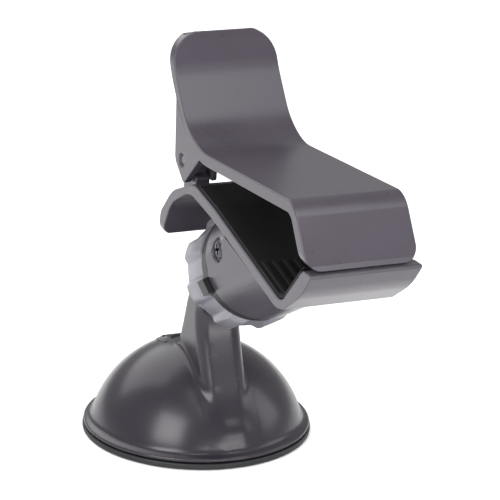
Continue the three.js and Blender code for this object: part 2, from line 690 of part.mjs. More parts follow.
// A shallow hollow under the plate, in front of the hub, with a rim left on each side.
function plateHollow() {
  const [[x0, y0], [x1, y1]] = UNDERSIDE;
  const slope = (y1 - y0) / (x1 - x0);
  const height = (x) => y0 + slope * (x - x0);
  const depth = 1.2;
  const half = CLIP_HALF - RIM_WIDTH;
  const side = outline([[78, height(78) + depth, 1], [78, 60], [100, 60], [100, height(100) + depth, 1]]);
  const room = solid(across(side, -half, half));
  return room.subtract(solid(bar(HUB_RADIUS, 0, 90, 48), JOINT_TO_SIDE));
}

// Place of a hub screw's axis in side view.
function screwPlace() {
  const place = new THREE.Vector3(0, SCREW_RISE, SCREW_REACH).applyMatrix4(JOINT_TO_SIDE);
  return [place.x, place.y];
}

function lowerJaw() {
  const plate = solid(across(outline(LOWER_SIDE), -CLIP_HALF, CLIP_HALF, 4));
  const [hx, hy] = HINGE;
  const step = outline([[hx - 4.8, hy - 11.5], [hx + 5.9, hy - 9], [hx + 5.9, hy - 4.7, 0.8],
    [hx + 3.5, hy - 3], [hx - 3.5, hy - 3], [hx - 4.8, hy - 6, 1]]);
  const lugs = bothSides(step, LUG_IN, LUG_OUT)
    .add(solid(crossBar(KNUCKLE_RADIUS, HINGE, LUG_IN, LUG_OUT)))
    .add(solid(crossBar(KNUCKLE_RADIUS, HINGE, -LUG_OUT, -LUG_IN)));
  const screwAt = screwPlace();
  const flat = SCREW_HALF;
  const screwHoles = solid(crossBar(SCREW_SHANK_RADIUS + SEAT_GAP, screwAt, -flat - 1, flat + 1, 24));
  const pockets = solid(crossBar(SCREW_POCKET_RADIUS, screwAt, flat - SCREW_POCKET_DEPTH, flat + 1))
    .add(solid(crossBar(SCREW_POCKET_RADIUS, screwAt, -flat - 1, -flat + SCREW_POCKET_DEPTH)));
  return plate.add(hub()).add(lugs)
    .subtract(hubRoom())
    .subtract(solid(crossBar(HINGE_PIN_RADIUS + RUN_GAP, HINGE, -CLIP_WIDTH, CLIP_WIDTH)))
    .subtract(screwHoles).subtract(pockets).subtract(plateHollow())
    .subtract(endCorners(TONGUE_CORNER, LOWER_SIDE[0][1], 1, 20, 20));
}

// A cut on both sides that rounds the width at an end of a plate, seen from the front.
// The end is at a height, and the plate reaches from there upwards (1) or downwards (-1).
function endCorners(radius, height, reach, fromFront, depth) {
  const inner = CLIP_HALF - radius;
  const outer = CLIP_HALF + 2;
  const shape = new THREE.Shape();
  shape.moveTo(inner, height);
  shape.absarc(inner, height + reach * radius, radius, -reach * Math.PI / 2, 0, reach < 0);
  shape.lineTo(outer, height + reach * radius);
  shape.lineTo(outer, height - 3 * reach);
  shape.lineTo(inner, height - 3 * reach);
  const corner = new THREE.ExtrudeGeometry(shape, { depth, bevelEnabled: false, curveSegments: 7 });
  const frame = new THREE.Matrix4()
    .makeBasis(new THREE.Vector3(0, 0, 1), new THREE.Vector3(0, 1, 0), new THREE.Vector3(-1, 0, 0))
    .setPosition(fromFront, 0, 0);
  const one = solid(corner, frame);
  return one.add(one.mirror([0, 0, 1]));
}

// ---------------------------------------------------------------- upper jaw
function upperJaw() {
  const plate = solid(across(strip(UPPER_SIDE, 0, UPPER_WALL), -CLIP_HALF, CLIP_HALF, 4));
  const rims = bothSides(strip(UPPER_SIDE, 0, UPPER_EDGE), CLIP_HALF - RIM_WIDTH, CLIP_HALF);
  const [hx, hy] = HINGE;
  const underPlate = [[hx + 16, hy + 5.2], [hx + 11.5, hy + 6.6], [hx + 5.5, hy + 9.2],
    [hx + 1, hy + 13.8], [hx - 3, hy + 19.3]];
  const outerEar = outline([[hx - 6, hy + 19], [hx - 6, hy - 1.2, 3.5], [hx + 1.7, hy - 7.4, 1.5],
    ...underPlate]);
  const innerEar = outline([[hx - 4.5, hy + 17], [hx - 5.5, hy - 2, 4], [hx - 1, hy - 6, 2],
    [hx + 6.6, hy - 5.8, 0.8], [hx + 8, hy + 6], ...underPlate.slice(2)]);
  const pinHole = solid(crossBar(HINGE_PIN_RADIUS + SEAT_GAP, HINGE, -CLIP_WIDTH, CLIP_WIDTH));
  const recess = 0.75;
  const recesses = solid(crossBar(HINGE_PIN_RADIUS + 0.75, HINGE, CLIP_HALF - recess, CLIP_HALF + 1))
    .add(solid(crossBar(HINGE_PIN_RADIUS + 0.75, HINGE, -CLIP_HALF - 1, -CLIP_HALF + recess)));
  return plate.add(rims)
    .add(bothSides(outerEar, CLIP_HALF - EAR_WALL, CLIP_HALF))
    .add(bothSides(innerEar, INNER_EAR_IN, INNER_EAR_OUT))
    .subtract(pinHole).subtract(recesses)
    .subtract(endCorners(HANDLE_CORNER, UPPER_SIDE[0][1], -1, 30, 30))
    .subtract(endCorners(FACE_CORNER, JAW_MEET + SEAT_GAP, 1, 140, 26))
    .subtract(solid(block([100, 70, -CLIP_WIDTH], [140, JAW_MEET + SEAT_GAP, CLIP_WIDTH])));
}

// ---------------------------------------------------------------- hinge hardware
function hingePin() {
  const half = CLIP_HALF - 0.75 + 0.2;
  return solid(crossBar(HINGE_PIN_RADIUS, HINGE, -half, half, 24));
}

function springBush() {
  const half = INNER_EAR_IN - RUN_GAP;
  const inner = HINGE_PIN_RADIUS + RUN_GAP;
  return solid(turned([[inner, -half], [inner + BUSH_WALL, -half], [inner + BUSH_WALL, half],
    [inner, half], [inner, -half]], 28).translate(...HINGE, 0));
}

// A coil round the bush. One end stands up behind the handle, the other lies behind the tongue.
function torsionSpring() {
  const [hx, hy] = HINGE;
  const half = INNER_EAR_IN - RUN_GAP - WIRE_RADIUS - 0.4;
  const endAngle = 155;
  const startAngle = 180;
  const sweep = 360 * COIL_TURNS + endAngle - startAngle;
  const perTurn = 9;
  const steps = Math.round(perTurn * sweep / 360);
  const coil = Array.from({ length: steps + 1 }, (_, i) => {
    const angle = (startAngle + sweep * i / steps) * DEG;
    const z = half - 2 * half * i / steps;
    return new THREE.Vector3(hx + COIL_RADIUS * Math.cos(angle), hy + COIL_RADIUS * Math.sin(angle), z);
  });
  const upperLeg = [12, 8, 4].map((rise) => new THREE.Vector3(hx - COIL_RADIUS, hy + rise, half));
  const down = new THREE.Vector3(-Math.sin(endAngle * DEG), Math.cos(endAngle * DEG), 0);
  const lowerLeg = [4, 8, 12, 14.5].map((reach) => coil[steps].clone().addScaledVector(down, reach));
  const extrudePath = new THREE.CatmullRomCurve3([...upperLeg, ...coil, ...lowerLeg]);
  const wire = new THREE.Shape().absarc(0, 0, WIRE_RADIUS, 0, 2 * Math.PI, false);
  return solid(new THREE.ExtrudeGeometry(wire, { extrudePath, steps: steps + 10, curveSegments: 3 }));
}

// ---------------------------------------------------------------- rubber on the jaws
function rubberSheet(line, fromX, toX) {
  return solid(across(strip(line, SEAT_GAP, SEAT_GAP + PAD_SHEET), fromX, toX, 5));
}

// Keeps the part of a side-view solid that lies between two distances from the base's axis.
function between(part, fromFront, toFront) {
  return part.intersect(solid(block([fromFront, 0, -60], [toFront, 200, 60])));
}

const LINER_HALF = CLIP_HALF - 0.6;
const GRIP_START = 86.6;

function lowerLiner() {
  return between(rubberSheet([...LOWER_INSIDE].reverse(), -LINER_HALF, LINER_HALF), 40, GRIP_START - SEAT_GAP);
}

function lowerGrip() {
  const line = [...LOWER_INSIDE].reverse();
  const sheetTop = SEAT_GAP + PAD_SHEET;
  const ribSide = strip(line, sheetTop - 0.2, sheetTop + GRIP_RIB_HEIGHT);
  let grip = rubberSheet(line, -LINER_HALF, LINER_HALF);
  for (let i = 0; i < GRIP_RIBS; i += 1) {
    const middle = LINER_HALF * ((2 * i + 1) / GRIP_RIBS - 1);
    grip = grip.add(solid(across(ribSide, middle - GRIP_RIB_WIDTH / 2, middle + GRIP_RIB_WIDTH / 2, 2)));
  }
  return between(grip, GRIP_START, 117.5);
}

function upperLiner() {
  const depth = UPPER_WALL + SEAT_GAP;
  const half = CLIP_HALF - RIM_WIDTH - SEAT_GAP;
  const [flatStart, bend, tip] = UPPER_SIDE.slice(2, 5);
  const line = [[flatStart[0], flatStart[1], 0], bend, [tip[0], tip[1], 0]];
  const side = strip(line, depth, depth + 2 * PAD_SHEET);
  return between(solid(across(side, -half, half, 5)), 66, 116);
}

function hubScrew(side) {
  const pocketFloor = SCREW_HALF - SCREW_POCKET_DEPTH;
  const head = 1.5;
  const standing = screw(-pocketFloor - head - 0.15, head, -pocketFloor + 8);
  const [x, y] = screwPlace();
  const turnedOver = side > 0 ? standing.mirror([0, 0, 1]) : standing;
  return turnedOver.translate([x, y, 0]);
}

// ---------------------------------------------------------------- assembly
const mount = new THREE.Group();
const sideView = new THREE.Group();
SIDE.decompose(sideView.position, sideView.quaternion, sideView.scale);
const ballJoint = new THREE.Group();
ballJoint.rotation.x = Math.PI / 2 - CLIP_TILT * DEG;
ballJoint.position.set(0, -BALL_FRONT, BALL_HEIGHT);
mount.add(sideView, ballJoint);

mount.add(
  named('suction_pad', surface(suctionPad()), rubber()),
  named('base_dome', surface(baseDome()), plastic()),
  named('pull_rod', surface(pullRod()), plastic('#2a2a2e')),
);
sideView.add(
  named('lock_lever', surface(lockLever()), plastic()),
  named('rod_pin', surface(rodPin()), steel()),
  named('lower_jaw', surface(lowerJaw()), plastic('#6b6873')),
  named('lower_liner', surface(lowerLiner()), rubber()),
  named('lower_grip', surface(lowerGrip()), rubber()),
  named('upper_jaw', surface(upperJaw()), plastic('#6b6873')),
  named('upper_liner', surface(upperLiner()), rubber()),
  named('hinge_pin', surface(hingePin()), steel()),
  named('spring_bush', surface(springBush()), plastic('#2a2a2e')),
  named('torsion_spring', surface(torsionSpring()), steel()),
  named('hub_screw_left', surface(hubScrew(1)), steel()),
  named('hub_screw_right', surface(hubScrew(-1)), steel()),
);
ballJoint.add(
  named('ball_stud', surface(ballStud()), plastic('#2a2a2e')),
  named('stud_screw', surface(studScrew()), steel()),
  named('ball_seat', surface(ballSeat()), plastic('#d8d6cf')),
  named('socket', surface(socket()), plastic('#1b1b1e')),
  named('lock_nut', surface(lockNut()), plastic('#77747f')),
);

export default mount;
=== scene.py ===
# %% [markdown]
# # A phone mount for a car
# The mount stands on a suction base. An arm rises from its dome to a ball joint, a lobed nut clamps the
# ball, and a long sprung clip holds the phone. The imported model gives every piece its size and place.
# Here each piece that shows is modelled again with soft edges and real finishes, in that same place.

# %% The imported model
import math
import bpy
import bmesh
from mathutils import Matrix, Vector


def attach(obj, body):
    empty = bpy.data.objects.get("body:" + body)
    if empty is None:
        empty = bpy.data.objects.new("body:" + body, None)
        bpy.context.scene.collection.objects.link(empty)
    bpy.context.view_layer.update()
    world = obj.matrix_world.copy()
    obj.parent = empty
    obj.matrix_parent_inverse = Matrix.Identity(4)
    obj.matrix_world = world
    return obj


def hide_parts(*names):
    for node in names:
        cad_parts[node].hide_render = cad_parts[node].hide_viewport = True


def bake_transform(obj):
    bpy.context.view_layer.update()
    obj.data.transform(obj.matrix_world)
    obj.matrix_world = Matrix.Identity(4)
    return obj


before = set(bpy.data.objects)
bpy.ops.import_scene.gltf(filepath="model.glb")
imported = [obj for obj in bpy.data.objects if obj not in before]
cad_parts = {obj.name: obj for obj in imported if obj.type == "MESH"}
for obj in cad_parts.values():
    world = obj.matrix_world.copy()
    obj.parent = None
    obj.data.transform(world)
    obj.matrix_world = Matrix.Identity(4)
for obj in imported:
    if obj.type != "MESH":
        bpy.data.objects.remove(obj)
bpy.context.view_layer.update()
print("pieces in the packed model:", len(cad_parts))

# %% [markdown]
# ## Working one piece at a time
# An operator acts on everything that is selected. So each step first clears the selection, then picks
# its own piece. The sizes below are in millimetres, as on a drawing, and become metres as they are used.

# %% Selecting, and going in and out of edit mode
MM = 0.001


def only(*pieces):
    if bpy.context.mode != "OBJECT":
        bpy.ops.object.mode_set(mode="OBJECT")
    bpy.ops.object.select_all(action="DESELECT")
    for piece in pieces:
        piece.select_set(True)
    if pieces:
        bpy.context.view_layer.objects.active = pieces[0]


def open_mesh(piece):
    only(piece)
    bpy.ops.object.mode_set(mode="EDIT")
    bpy.ops.mesh.select_mode(type="VERT")
    bpy.ops.mesh.select_all(action="DESELECT")


def close_mesh():
    bpy.ops.object.mode_set(mode="OBJECT")


def pick(piece, kind, test):
    """Selects the vertices or faces of the open mesh that pass the test, and says how many."""
    drawn = bmesh.from_edit_mesh(piece.data)
    for item in getattr(drawn, kind):
        item.select_set(False)
    chosen = [item for item in getattr(drawn, kind) if test(item)]
    for item in chosen:
        item.select_set(True)
    drawn.select_flush_mode()
    bmesh.update_edit_mesh(piece.data)
    return len(chosen)


print("one drawing unit is", MM, "m")

# %% [markdown]
# ## Drawing an outline
# Most plates of the clip have one shape in side view and run straight across its width. Such a plate is
# drawn as by hand: a point is set down, drawn out corner by corner, closed, filled, and its corners are
# rounded with a vertex bevel. Extruding that face gives the plate.

# %% A pen that draws and rounds an outline
def side_view(x):
    return lambda front, height: Vector((x, -front, height)) * MM


def front_view(front):
    return lambda x, height: Vector((x, -front, height)) * MM


def set_down_pen(name, start):
    only()
    bpy.ops.mesh.primitive_plane_add(size=2 * MM, location=(0, 0, 0))
    piece = bpy.context.object
    piece.name = name
    piece.data.name = name
    bpy.ops.object.mode_set(mode="EDIT")
    bpy.ops.mesh.select_mode(type="VERT")
    bpy.ops.mesh.select_all(action="SELECT")
    bpy.ops.mesh.merge(type="CENTER")
    bpy.ops.transform.translate(value=start)
    return piece


def draw_on(points):
    for here, there in zip(points, points[1:]):
        step = there - here
        bpy.ops.mesh.extrude_vertices_move(TRANSFORM_OT_translate={"value": step})


def round_corner(piece, corner, before, after, radius):
    half = (before - corner).angle(after - corner) / 2
    reach = radius * MM / math.tan(half)
    steps = max(3, round((math.pi - 2 * half) / math.radians(6)))
    pick(piece, "verts", lambda v: (v.co - corner).length < 1e-6)
    bpy.ops.mesh.bevel(offset_type="OFFSET", offset=reach, segments=steps, affect="VERTICES")


def plate(name, corners, view, run):
    """A plate from corners (across, up, rounding), thickened by the vector run in millimetres."""
    points = [view(c[0], c[1]) for c in corners]
    piece = set_down_pen(name, points[0])
    draw_on(points)
    pick(piece, "verts", lambda v: not v.link_edges or len(v.link_edges) == 1)
    bpy.ops.mesh.edge_face_add()
    bpy.ops.mesh.select_all(action="SELECT")
    bpy.ops.mesh.edge_face_add()
    for i, c in enumerate(corners):
        if len(c) > 2 and c[2] > 0:
            round_corner(piece, points[i], points[i - 1], points[(i + 1) % len(points)], c[2])
    bpy.ops.mesh.select_all(action="SELECT")
    bpy.ops.mesh.extrude_region_move(TRANSFORM_OT_translate={"value": Vector(run) * MM})
    bpy.ops.mesh.select_all(action="SELECT")
    bpy.ops.mesh.normals_make_consistent(inside=False)
    close_mesh()
    return piece


def side_plate(name, corners, low_x, high_x):
    return plate(name, corners, side_view(low_x), (high_x - low_x, 0, 0))


print("outlines are drawn in side view or in front view")

# %% [markdown]
# ## Turning round pieces
# A dome, a collar, a screw or a pin is a half section spun round an axis. The section is drawn with the
# same pen and spun a full turn. Pieces of the ball joint are spun upright, then laid on the joint's axis.

# %% A lathe
def turned(name, section, steps=96):
    points = [Vector((radius, 0, height)) * MM for radius, height in section]
    piece = set_down_pen(name, points[0])
    draw_on(points)
    bpy.ops.mesh.select_all(action="SELECT")
    bpy.ops.mesh.spin(steps=steps, angle=2 * math.pi, center=(0, 0, 0), axis=(0, 0, 1))
    bpy.ops.mesh.select_all(action="SELECT")
    bpy.ops.mesh.remove_doubles(threshold=2e-6)
    bpy.ops.mesh.normals_make_consistent(inside=False)
    close_mesh()
    return piece


def arc(radius, from_degrees, to_degrees, steps, drop=0):
    """Points (radius, height) round a circle in the half section, from the side (0) to the top (90)."""
    for i in range(steps + 1):
        angle = math.radians(from_degrees + (to_degrees - from_degrees) * i / steps)
        yield max(radius * math.cos(angle), 0) if abs(math.cos(angle)) > 1e-6 else 0, \
            radius * math.sin(angle) - drop


def lay(piece, turn=(0, 0, 0), place=(0, 0, 0)):
    """Turns a piece by degrees about the axes, moves it, and keeps that in its mesh."""
    only(piece)
    piece.rotation_euler = [math.radians(a) for a in turn]
    piece.location = Vector(place) * MM
    bpy.ops.object.transform_apply(location=True, rotation=True, scale=True)
    return piece


def rod(name, radius, start, finish, sides=64):
    """A round bar between two places, for a pin or for boring a hole."""
    a, b = Vector(start), Vector(finish)
    only()
    bpy.ops.mesh.primitive_cylinder_add(vertices=sides, radius=radius * MM, depth=(b - a).length * MM)
    piece = bpy.context.object
    piece.name = name
    turn = (b - a).to_track_quat("Z", "Y").to_euler()
    return lay(piece, [math.degrees(t) for t in turn], (a + b) / 2)


print("round pieces are spun in 96 steps, unless told otherwise")

# %% [markdown]
# ## Joining, cutting and softening
# Booleans join and cut solid pieces as glue and a saw do. A moulded part never has a knife edge, so a
# narrow bevel then rounds every sharp edge, and weighted normals keep the flats flat beside it.

# %% Glue, saw and edge rounding
def apply(piece, kind, **settings):
    only(piece)
    step = piece.modifiers.new(kind.title(), kind)
    for key, value in settings.items():
        setattr(step, key, value)
    bpy.ops.object.modifier_apply(modifier=step.name)
    return piece


def combine(piece, tool, operation):
    apply(piece, "BOOLEAN", operation=operation, object=tool, solver="EXACT")
    bpy.data.objects.remove(tool)
    return piece


def glue(piece, *tools):
    for tool in tools:
        combine(piece, tool, "UNION")
    return piece


def saw(piece, *tools):
    for tool in tools:
        combine(piece, tool, "DIFFERENCE")
    return piece


def trim(piece, place, normal):
    """Cuts away all that lies beyond a plane, on the side its normal points to, and closes the cut."""
    open_mesh(piece)
    bpy.ops.mesh.select_all(action="SELECT")
    bpy.ops.mesh.bisect(plane_co=Vector(place) * MM, plane_no=normal, use_fill=True, clear_outer=True)
    close_mesh()
    return piece


def tidy_mesh(piece):
    open_mesh(piece)
    bpy.ops.mesh.select_all(action="SELECT")
    bpy.ops.mesh.remove_doubles(threshold=3e-6)
    bpy.ops.mesh.dissolve_degenerate(threshold=3e-6)
    close_mesh()
    return piece


def smooth(piece, below=42):
    """Smooth shading across every edge that turns by less than so many degrees."""
    only(piece)
    bpy.ops.object.shade_smooth_by_angle(angle=math.radians(below))
    return piece


def even_shading(piece):
    """Smooth shading that keeps flats flat and corners crisp."""
    smooth(piece)
    apply(piece, "WEIGHTED_NORMAL", keep_sharp=True, weight=60)
    return piece


def soften(piece, width, steps=3, above=38):
    """Rounds the edges that turn by more than so many degrees, and smooths the shading."""
    tidy_mesh(piece)
    apply(piece, "BEVEL", width=width * MM, segments=steps, limit_method="ANGLE",
          angle_limit=math.radians(above), use_clamp_overlap=False, miter_outer="MITER_ARC")
    return even_shading(piece)


print("glue, saw, trim and soften are ready")

# %% [markdown]
# ## Handing a piece over
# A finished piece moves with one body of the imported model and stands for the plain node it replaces.

# %% Finishing a piece
made = []


def hand_over(piece, body, finish, *nodes):
    piece.data.materials.clear()
    piece.data.materials.append(finish)
    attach(piece, body)
    if nodes:
        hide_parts(*nodes)
    low = [min(v.co[i] for v in piece.data.vertices) / MM for i in range(3)]
    high = [max(v.co[i] for v in piece.data.vertices) / MM for i in range(3)]
    made.append(piece.name)
    print(f"{piece.name}: {len(piece.data.polygons)} faces,",
          " x ".join(f"{b - a:.1f}" for a, b in zip(low, high)), "mm")
    return piece


print("finished pieces so far:", len(made))

# %% [markdown]
# ## Shapes that follow a line
# The upper jaw and the rubber sheets have an even thickness. Such an outline is found from one surface:
# the line is moved sideways twice, and the two moved lines are joined end to end.

# %% A strip beside a line
def beside(line, distance):
    """The corners of an open side-view line, moved to its right, with their roundings kept in step."""
    moved = []
    last = len(line) - 1
    for i, corner in enumerate(line):
        here = Vector(corner[:2])
        before = here - Vector(line[i - 1][:2]) if i > 0 else None
        after = Vector(line[i + 1][:2]) - here if i < last else None
        before, after = (before or after).normalized(), (after or before).normalized()
        across = Vector((before.y + after.y, -before.x - after.x)).normalized()
        stretch = distance / math.cos(before.angle(after) / 2)
        left = before.x * after.y - before.y * after.x > 0
        round_by = corner[2] if len(corner) > 2 else 0
        if round_by:
            round_by = max(round_by + (distance if left else -distance), 0.2)
        spot = here + across * stretch
        moved.append((spot.x, spot.y, round_by))
    return moved


def strip(line, near, far):
    return beside(line, far) + beside(line, near)[::-1]


def block(low, high):
    """A saw or filler block between two corners, in millimetres."""
    only()
    size = [b - a for a, b in zip(low, high)]
    bpy.ops.mesh.primitive_cube_add(size=MM, location=[(a + b) / 2 * MM for a, b in zip(low, high)])
    piece = bpy.context.object
    piece.scale = size
    bpy.ops.object.transform_apply(location=True, rotation=True, scale=True)
    return piece


print("a 2 mm sheet beside a straight line:", strip([(0, 0), (10, 0)], 0, 2))

# %% [markdown]
# ## The finishes
# The real mount is moulded in a satin charcoal plastic with a very fine grain, lighter on the clip, and
# black on the collar. The nut's much lighter grey is a painted highlight, standing in for the strong light
# that falls on it from the front left and below. Fine noise gives the grain, a broad noise lets the gloss
# wander a little as it does on a moulding, and the edges, which hands polish, are a touch lighter.

# %% Satin moulded plastic
def moulded(name, colour, gloss, grain=1.6, depth=0.007, worn=0.25, spread=0.08, shine=0.5):
    made_of = bpy.data.materials.new(name)
    made_of.use_nodes = True
    nodes, links = made_of.node_tree.nodes, made_of.node_tree.links
    shader = nodes["Principled BSDF"]
    shader.inputs["Specular IOR Level"].default_value = shine
    place = nodes.new("ShaderNodeTexCoord")
    broad = nodes.new("ShaderNodeTexNoise")
    broad.inputs["Scale"].default_value = 60
    broad.inputs["Detail"].default_value = 4
    links.new(place.outputs["Object"], broad.inputs["Vector"])
    tint = nodes.new("ShaderNodeValToRGB")
    tint.color_ramp.elements[0].position = 0.3
    tint.color_ramp.elements[1].position = 0.7
    tint.color_ramp.elements[0].color = [c * (1 - spread) for c in colour] + [1]
    tint.color_ramp.elements[1].color = [c * (1 + spread) for c in colour] + [1]
    links.new(broad.outputs["Fac"], tint.inputs["Fac"])
    shape = nodes.new("ShaderNodeNewGeometry")
    edge = nodes.new("ShaderNodeMapRange")
    edge.inputs["From Min"].default_value = 0.52
    edge.inputs["From Max"].default_value = 0.62
    edge.inputs["To Max"].default_value = worn
    links.new(shape.outputs["Pointiness"], edge.inputs["Value"])
    lighter = nodes.new("ShaderNodeMix")
    lighter.data_type = "RGBA"
    lighter.inputs["B"].default_value = [min(c * 1.9 + 0.02, 1) for c in colour] + [1]
    links.new(edge.outputs["Result"], lighter.inputs["Factor"])
    links.new(tint.outputs["Color"], lighter.inputs["A"])
    links.new(lighter.outputs["Result"], shader.inputs["Base Color"])
    rough = nodes.new("ShaderNodeMapRange")
    rough.inputs["To Min"].default_value = gloss - 0.05
    rough.inputs["To Max"].default_value = gloss + 0.07
    links.new(broad.outputs["Fac"], rough.inputs["Value"])
    links.new(rough.outputs["Result"], shader.inputs["Roughness"])
    fine = nodes.new("ShaderNodeTexNoise")
    fine.inputs["Scale"].default_value = grain * 1000
    fine.inputs["Detail"].default_value = 3
    links.new(place.outputs["Object"], fine.inputs["Vector"])
    bump = nodes.new("ShaderNodeBump")
    bump.inputs["Strength"].default_value = 0.35
    bump.inputs["Distance"].default_value = depth * MM
    links.new(fine.outputs["Fac"], bump.inputs["Height"])
    links.new(bump.outputs["Normal"], shader.inputs["Normal"])
    return made_of


shell_finish = moulded("shell_plastic", (0.02, 0.017, 0.0225), 0.24, shine=0.26)
clip_finish = moulded("clip_plastic", (0.033, 0.028, 0.037), 0.28, shine=0.34)
# Painted highlight: the nut's base colour is a lighter copy of the charcoal plastic, standing in for the light
# that falls on it.
nut_lit_plastic = moulded("nut_plastic", (0.11, 0.107, 0.124), 0.36, depth=0.02, shine=0.4)
black_finish = moulded("black_plastic", (0.005, 0.005, 0.006), 0.4, worn=0.1, shine=0.25)
pale_finish = moulded("pale_plastic", (0.62, 0.6, 0.54), 0.5, worn=0.1, spread=0.03)
pad_finish = moulded("pad_rubber", (0.012, 0.012, 0.0135), 0.5, grain=2.2, depth=0.02,
                      worn=0.2, shine=0.25)
grip_finish = moulded("grip_rubber", (0.004, 0.004, 0.0044), 0.6, grain=2.6, depth=0.03,
                       worn=0.1, shine=0.12)
print("plastics and rubbers:", len(bpy.data.materials))

# %% [markdown]
# Steel shows long fine scratches rather than a grain, so its noise is stretched along the part.

# %% Bright steel
def drawn_steel(name, colour, gloss, along=(1, 40, 40)):
    made_of = bpy.data.materials.new(name)
    made_of.use_nodes = True
    nodes, links = made_of.node_tree.nodes, made_of.node_tree.links
    shader = nodes["Principled BSDF"]
    shader.inputs["Metallic"].default_value = 1
    place = nodes.new("ShaderNodeTexCoord")
    stretch = nodes.new("ShaderNodeMapping")
    stretch.inputs["Scale"].default_value = along
    links.new(place.outputs["Object"], stretch.inputs["Vector"])
    marks = nodes.new("ShaderNodeTexNoise")
    marks.inputs["Scale"].default_value = 90
    marks.inputs["Detail"].default_value = 5
    links.new(stretch.outputs["Vector"], marks.inputs["Vector"])
    tint = nodes.new("ShaderNodeValToRGB")
    tint.color_ramp.elements[0].color = [c * 0.8 for c in colour] + [1]
    tint.color_ramp.elements[1].color = list(colour) + [1]
    links.new(marks.outputs["Fac"], tint.inputs["Fac"])
    links.new(tint.outputs["Color"], shader.inputs["Base Color"])
    rough = nodes.new("ShaderNodeMapRange")
    rough.inputs["To Min"].default_value = gloss - 0.06
    rough.inputs["To Max"].default_value = gloss + 0.14
    links.new(marks.outputs["Fac"], rough.inputs["Value"])
    links.new(rough.outputs["Result"], shader.inputs["Roughness"])
    bump = nodes.new("ShaderNodeBump")
    bump.inputs["Strength"].default_value = 0.25
    bump.inputs["Distance"].default_value = 0.01 * MM
    links.new(marks.outputs["Fac"], bump.inputs["Height"])
    links.new(bump.outputs["Normal"], shader.inputs["Normal"])
    return made_of


pin_finish = drawn_steel("pin_steel", (0.16, 0.155, 0.165), 0.34)
rod_finish = drawn_steel("rod_steel", (0.5, 0.5, 0.52), 0.28)
screw_finish = drawn_steel("screw_steel", (0.07, 0.07, 0.078), 0.34, along=(20, 20, 20))
spring_finish = drawn_steel("spring_steel", (0.62, 0.62, 0.64), 0.24, along=(12, 12, 12))
print("all finishes:", len(bpy.data.materials))

# %% [markdown]
# ## The base shell
# The dome is part of a ball, so its half section is an arc. It ends in a flange on the rubber pad.
# The arm is a flat plate whose front swells, and it flows into the dome through a soft fillet.

# %% The dome's half section, spun
BASE_RADIUS = 39
DROP = 5.6                       # the dome's ball is centred this far below the ground
DOME_RADIUS = math.hypot(BASE_RADIUS - 2.3, DROP + 2)
DOME_INNER = DOME_RADIUS - 2.6
DOME_TOP = DOME_RADIUS - DROP


def dome_section():
    skirt = math.degrees(math.asin((5.4 + DROP) / DOME_RADIUS))
    inside = math.degrees(math.asin((2.3 + DROP) / DOME_INNER))
    outer = list(arc(DOME_RADIUS, 90, skirt, 34, DROP))
    foot = outer[-1][0]
    return outer + [
        (foot + 0.25, 4.9), (foot + 0.6, 4.4), (foot + 1.1, 4.05), (38.1, 3.9), (38.5, 3.75),
        (38.7, 3.4), (38.7, 2.55), (38.5, 2.3)] + list(arc(DOME_INNER, inside, 90, 24, DROP))


dome = turned("base_shell", dome_section(), steps=128)
print("dome top at", round(DOME_TOP, 2), "mm")

# %% The arm as a plate with a swelling front
BALL = Vector((0, -41.8, 70.8))
TILT = math.radians(28)
ARM_HALF = 7.85
AXIS = Vector((0, -math.cos(TILT), math.sin(TILT)))
RISE = Vector((0, math.sin(TILT), math.cos(TILT)))


def on_axis(along, above=0):
    """A place (front, height) in side view, measured from the ball along the joint and above it."""
    spot = BALL + AXIS * along + RISE * above
    return -spot.y, spot.z


arm_side = [
    (0.6, DOME_TOP - 5), (28, DOME_TOP - 24), (28, -2), (36.2, -2), (34.9, 9, 12), (28.6, 19.4, 20),
    (23.4, 32.6, 20), (20.1, 42, 20), (19.6, 48.4, 4), on_axis(-17.4, -8.4) + (1.4,),
    on_axis(-17.4, 5.6) + (1.4,), on_axis(-28.4, 5.2) + (4,), (7.6, 50, 12), (3.6, 39, 12), (0.6, DOME_TOP - 2)]
arm = side_plate("arm", arm_side, -ARM_HALF, ARM_HALF)
open_mesh(arm)
FRONT_OF, FOOT_FRONT_OF, FOOT_BELOW, HEAD_ABOVE = 18.4 * MM, 30 * MM, 12 * MM, 49 * MM


def on_front(v):
    """True for a corner on either side of the arm's front, below its head."""
    ahead = -v.co.y > (FRONT_OF if v.co.z > FOOT_BELOW else FOOT_FRONT_OF)
    return ahead and abs(abs(v.co.x) - ARM_HALF * MM) < 1e-6 and v.co.z < HEAD_ABOVE


def sharp_and_high(e):
    return e.calc_face_angle(0) > math.radians(38) and min(v.co.z for v in e.verts) > 33 * MM


front_edges = pick(arm, "edges", lambda e: all(on_front(v) for v in e.verts)
                   and abs((e.verts[0].co - e.verts[1].co).x) < 1e-6)
bpy.ops.mesh.bevel(offset=4.4 * MM, segments=10, profile=0.46)
pick(arm, "edges", sharp_and_high)
bpy.ops.mesh.bevel(offset=0.7 * MM, segments=3)
close_mesh()
trim(arm, (0, 0, 4.4), (0, 0, -1))
print("front edges rounded:", front_edges)

# %% [markdown]
# A fillet round a curved joint is hard to bevel by hand. An even remesh makes one skin of the dome and
# the arm, and a ball sawn out of it takes away the arm's foot inside the dome. Relaxing the skin beside
# the joint gives the soft run-in of a moulding. The dome elsewhere is then put back exactly on its ball.

# %% Remeshing, relaxing the joint, and truing up the dome
only(dome, arm)
bpy.ops.object.join()
apply(dome, "REMESH", mode="VOXEL", voxel_size=0.55 * MM, adaptivity=0)
saw(dome, turned("inner_ball", list(arc(DOME_INNER, 90, -90, 90, DROP)), steps=128))
CENTRE = Vector((0, 0, -DROP)) * MM


def off_ball(v):
    """How far a point lies outside the dome's ball, in millimetres."""
    return (v.co - CENTRE).length / MM - DOME_RADIUS


def beside_arm(v, half, rear, front):
    return abs(v.co.x) < half * MM and rear < -v.co.y / MM < front


def near_joint(v):
    return -1.2 < off_ball(v) < 2.4 and beside_arm(v, 10.6, -3, 36.5) and v.co.z > 6.6 * MM


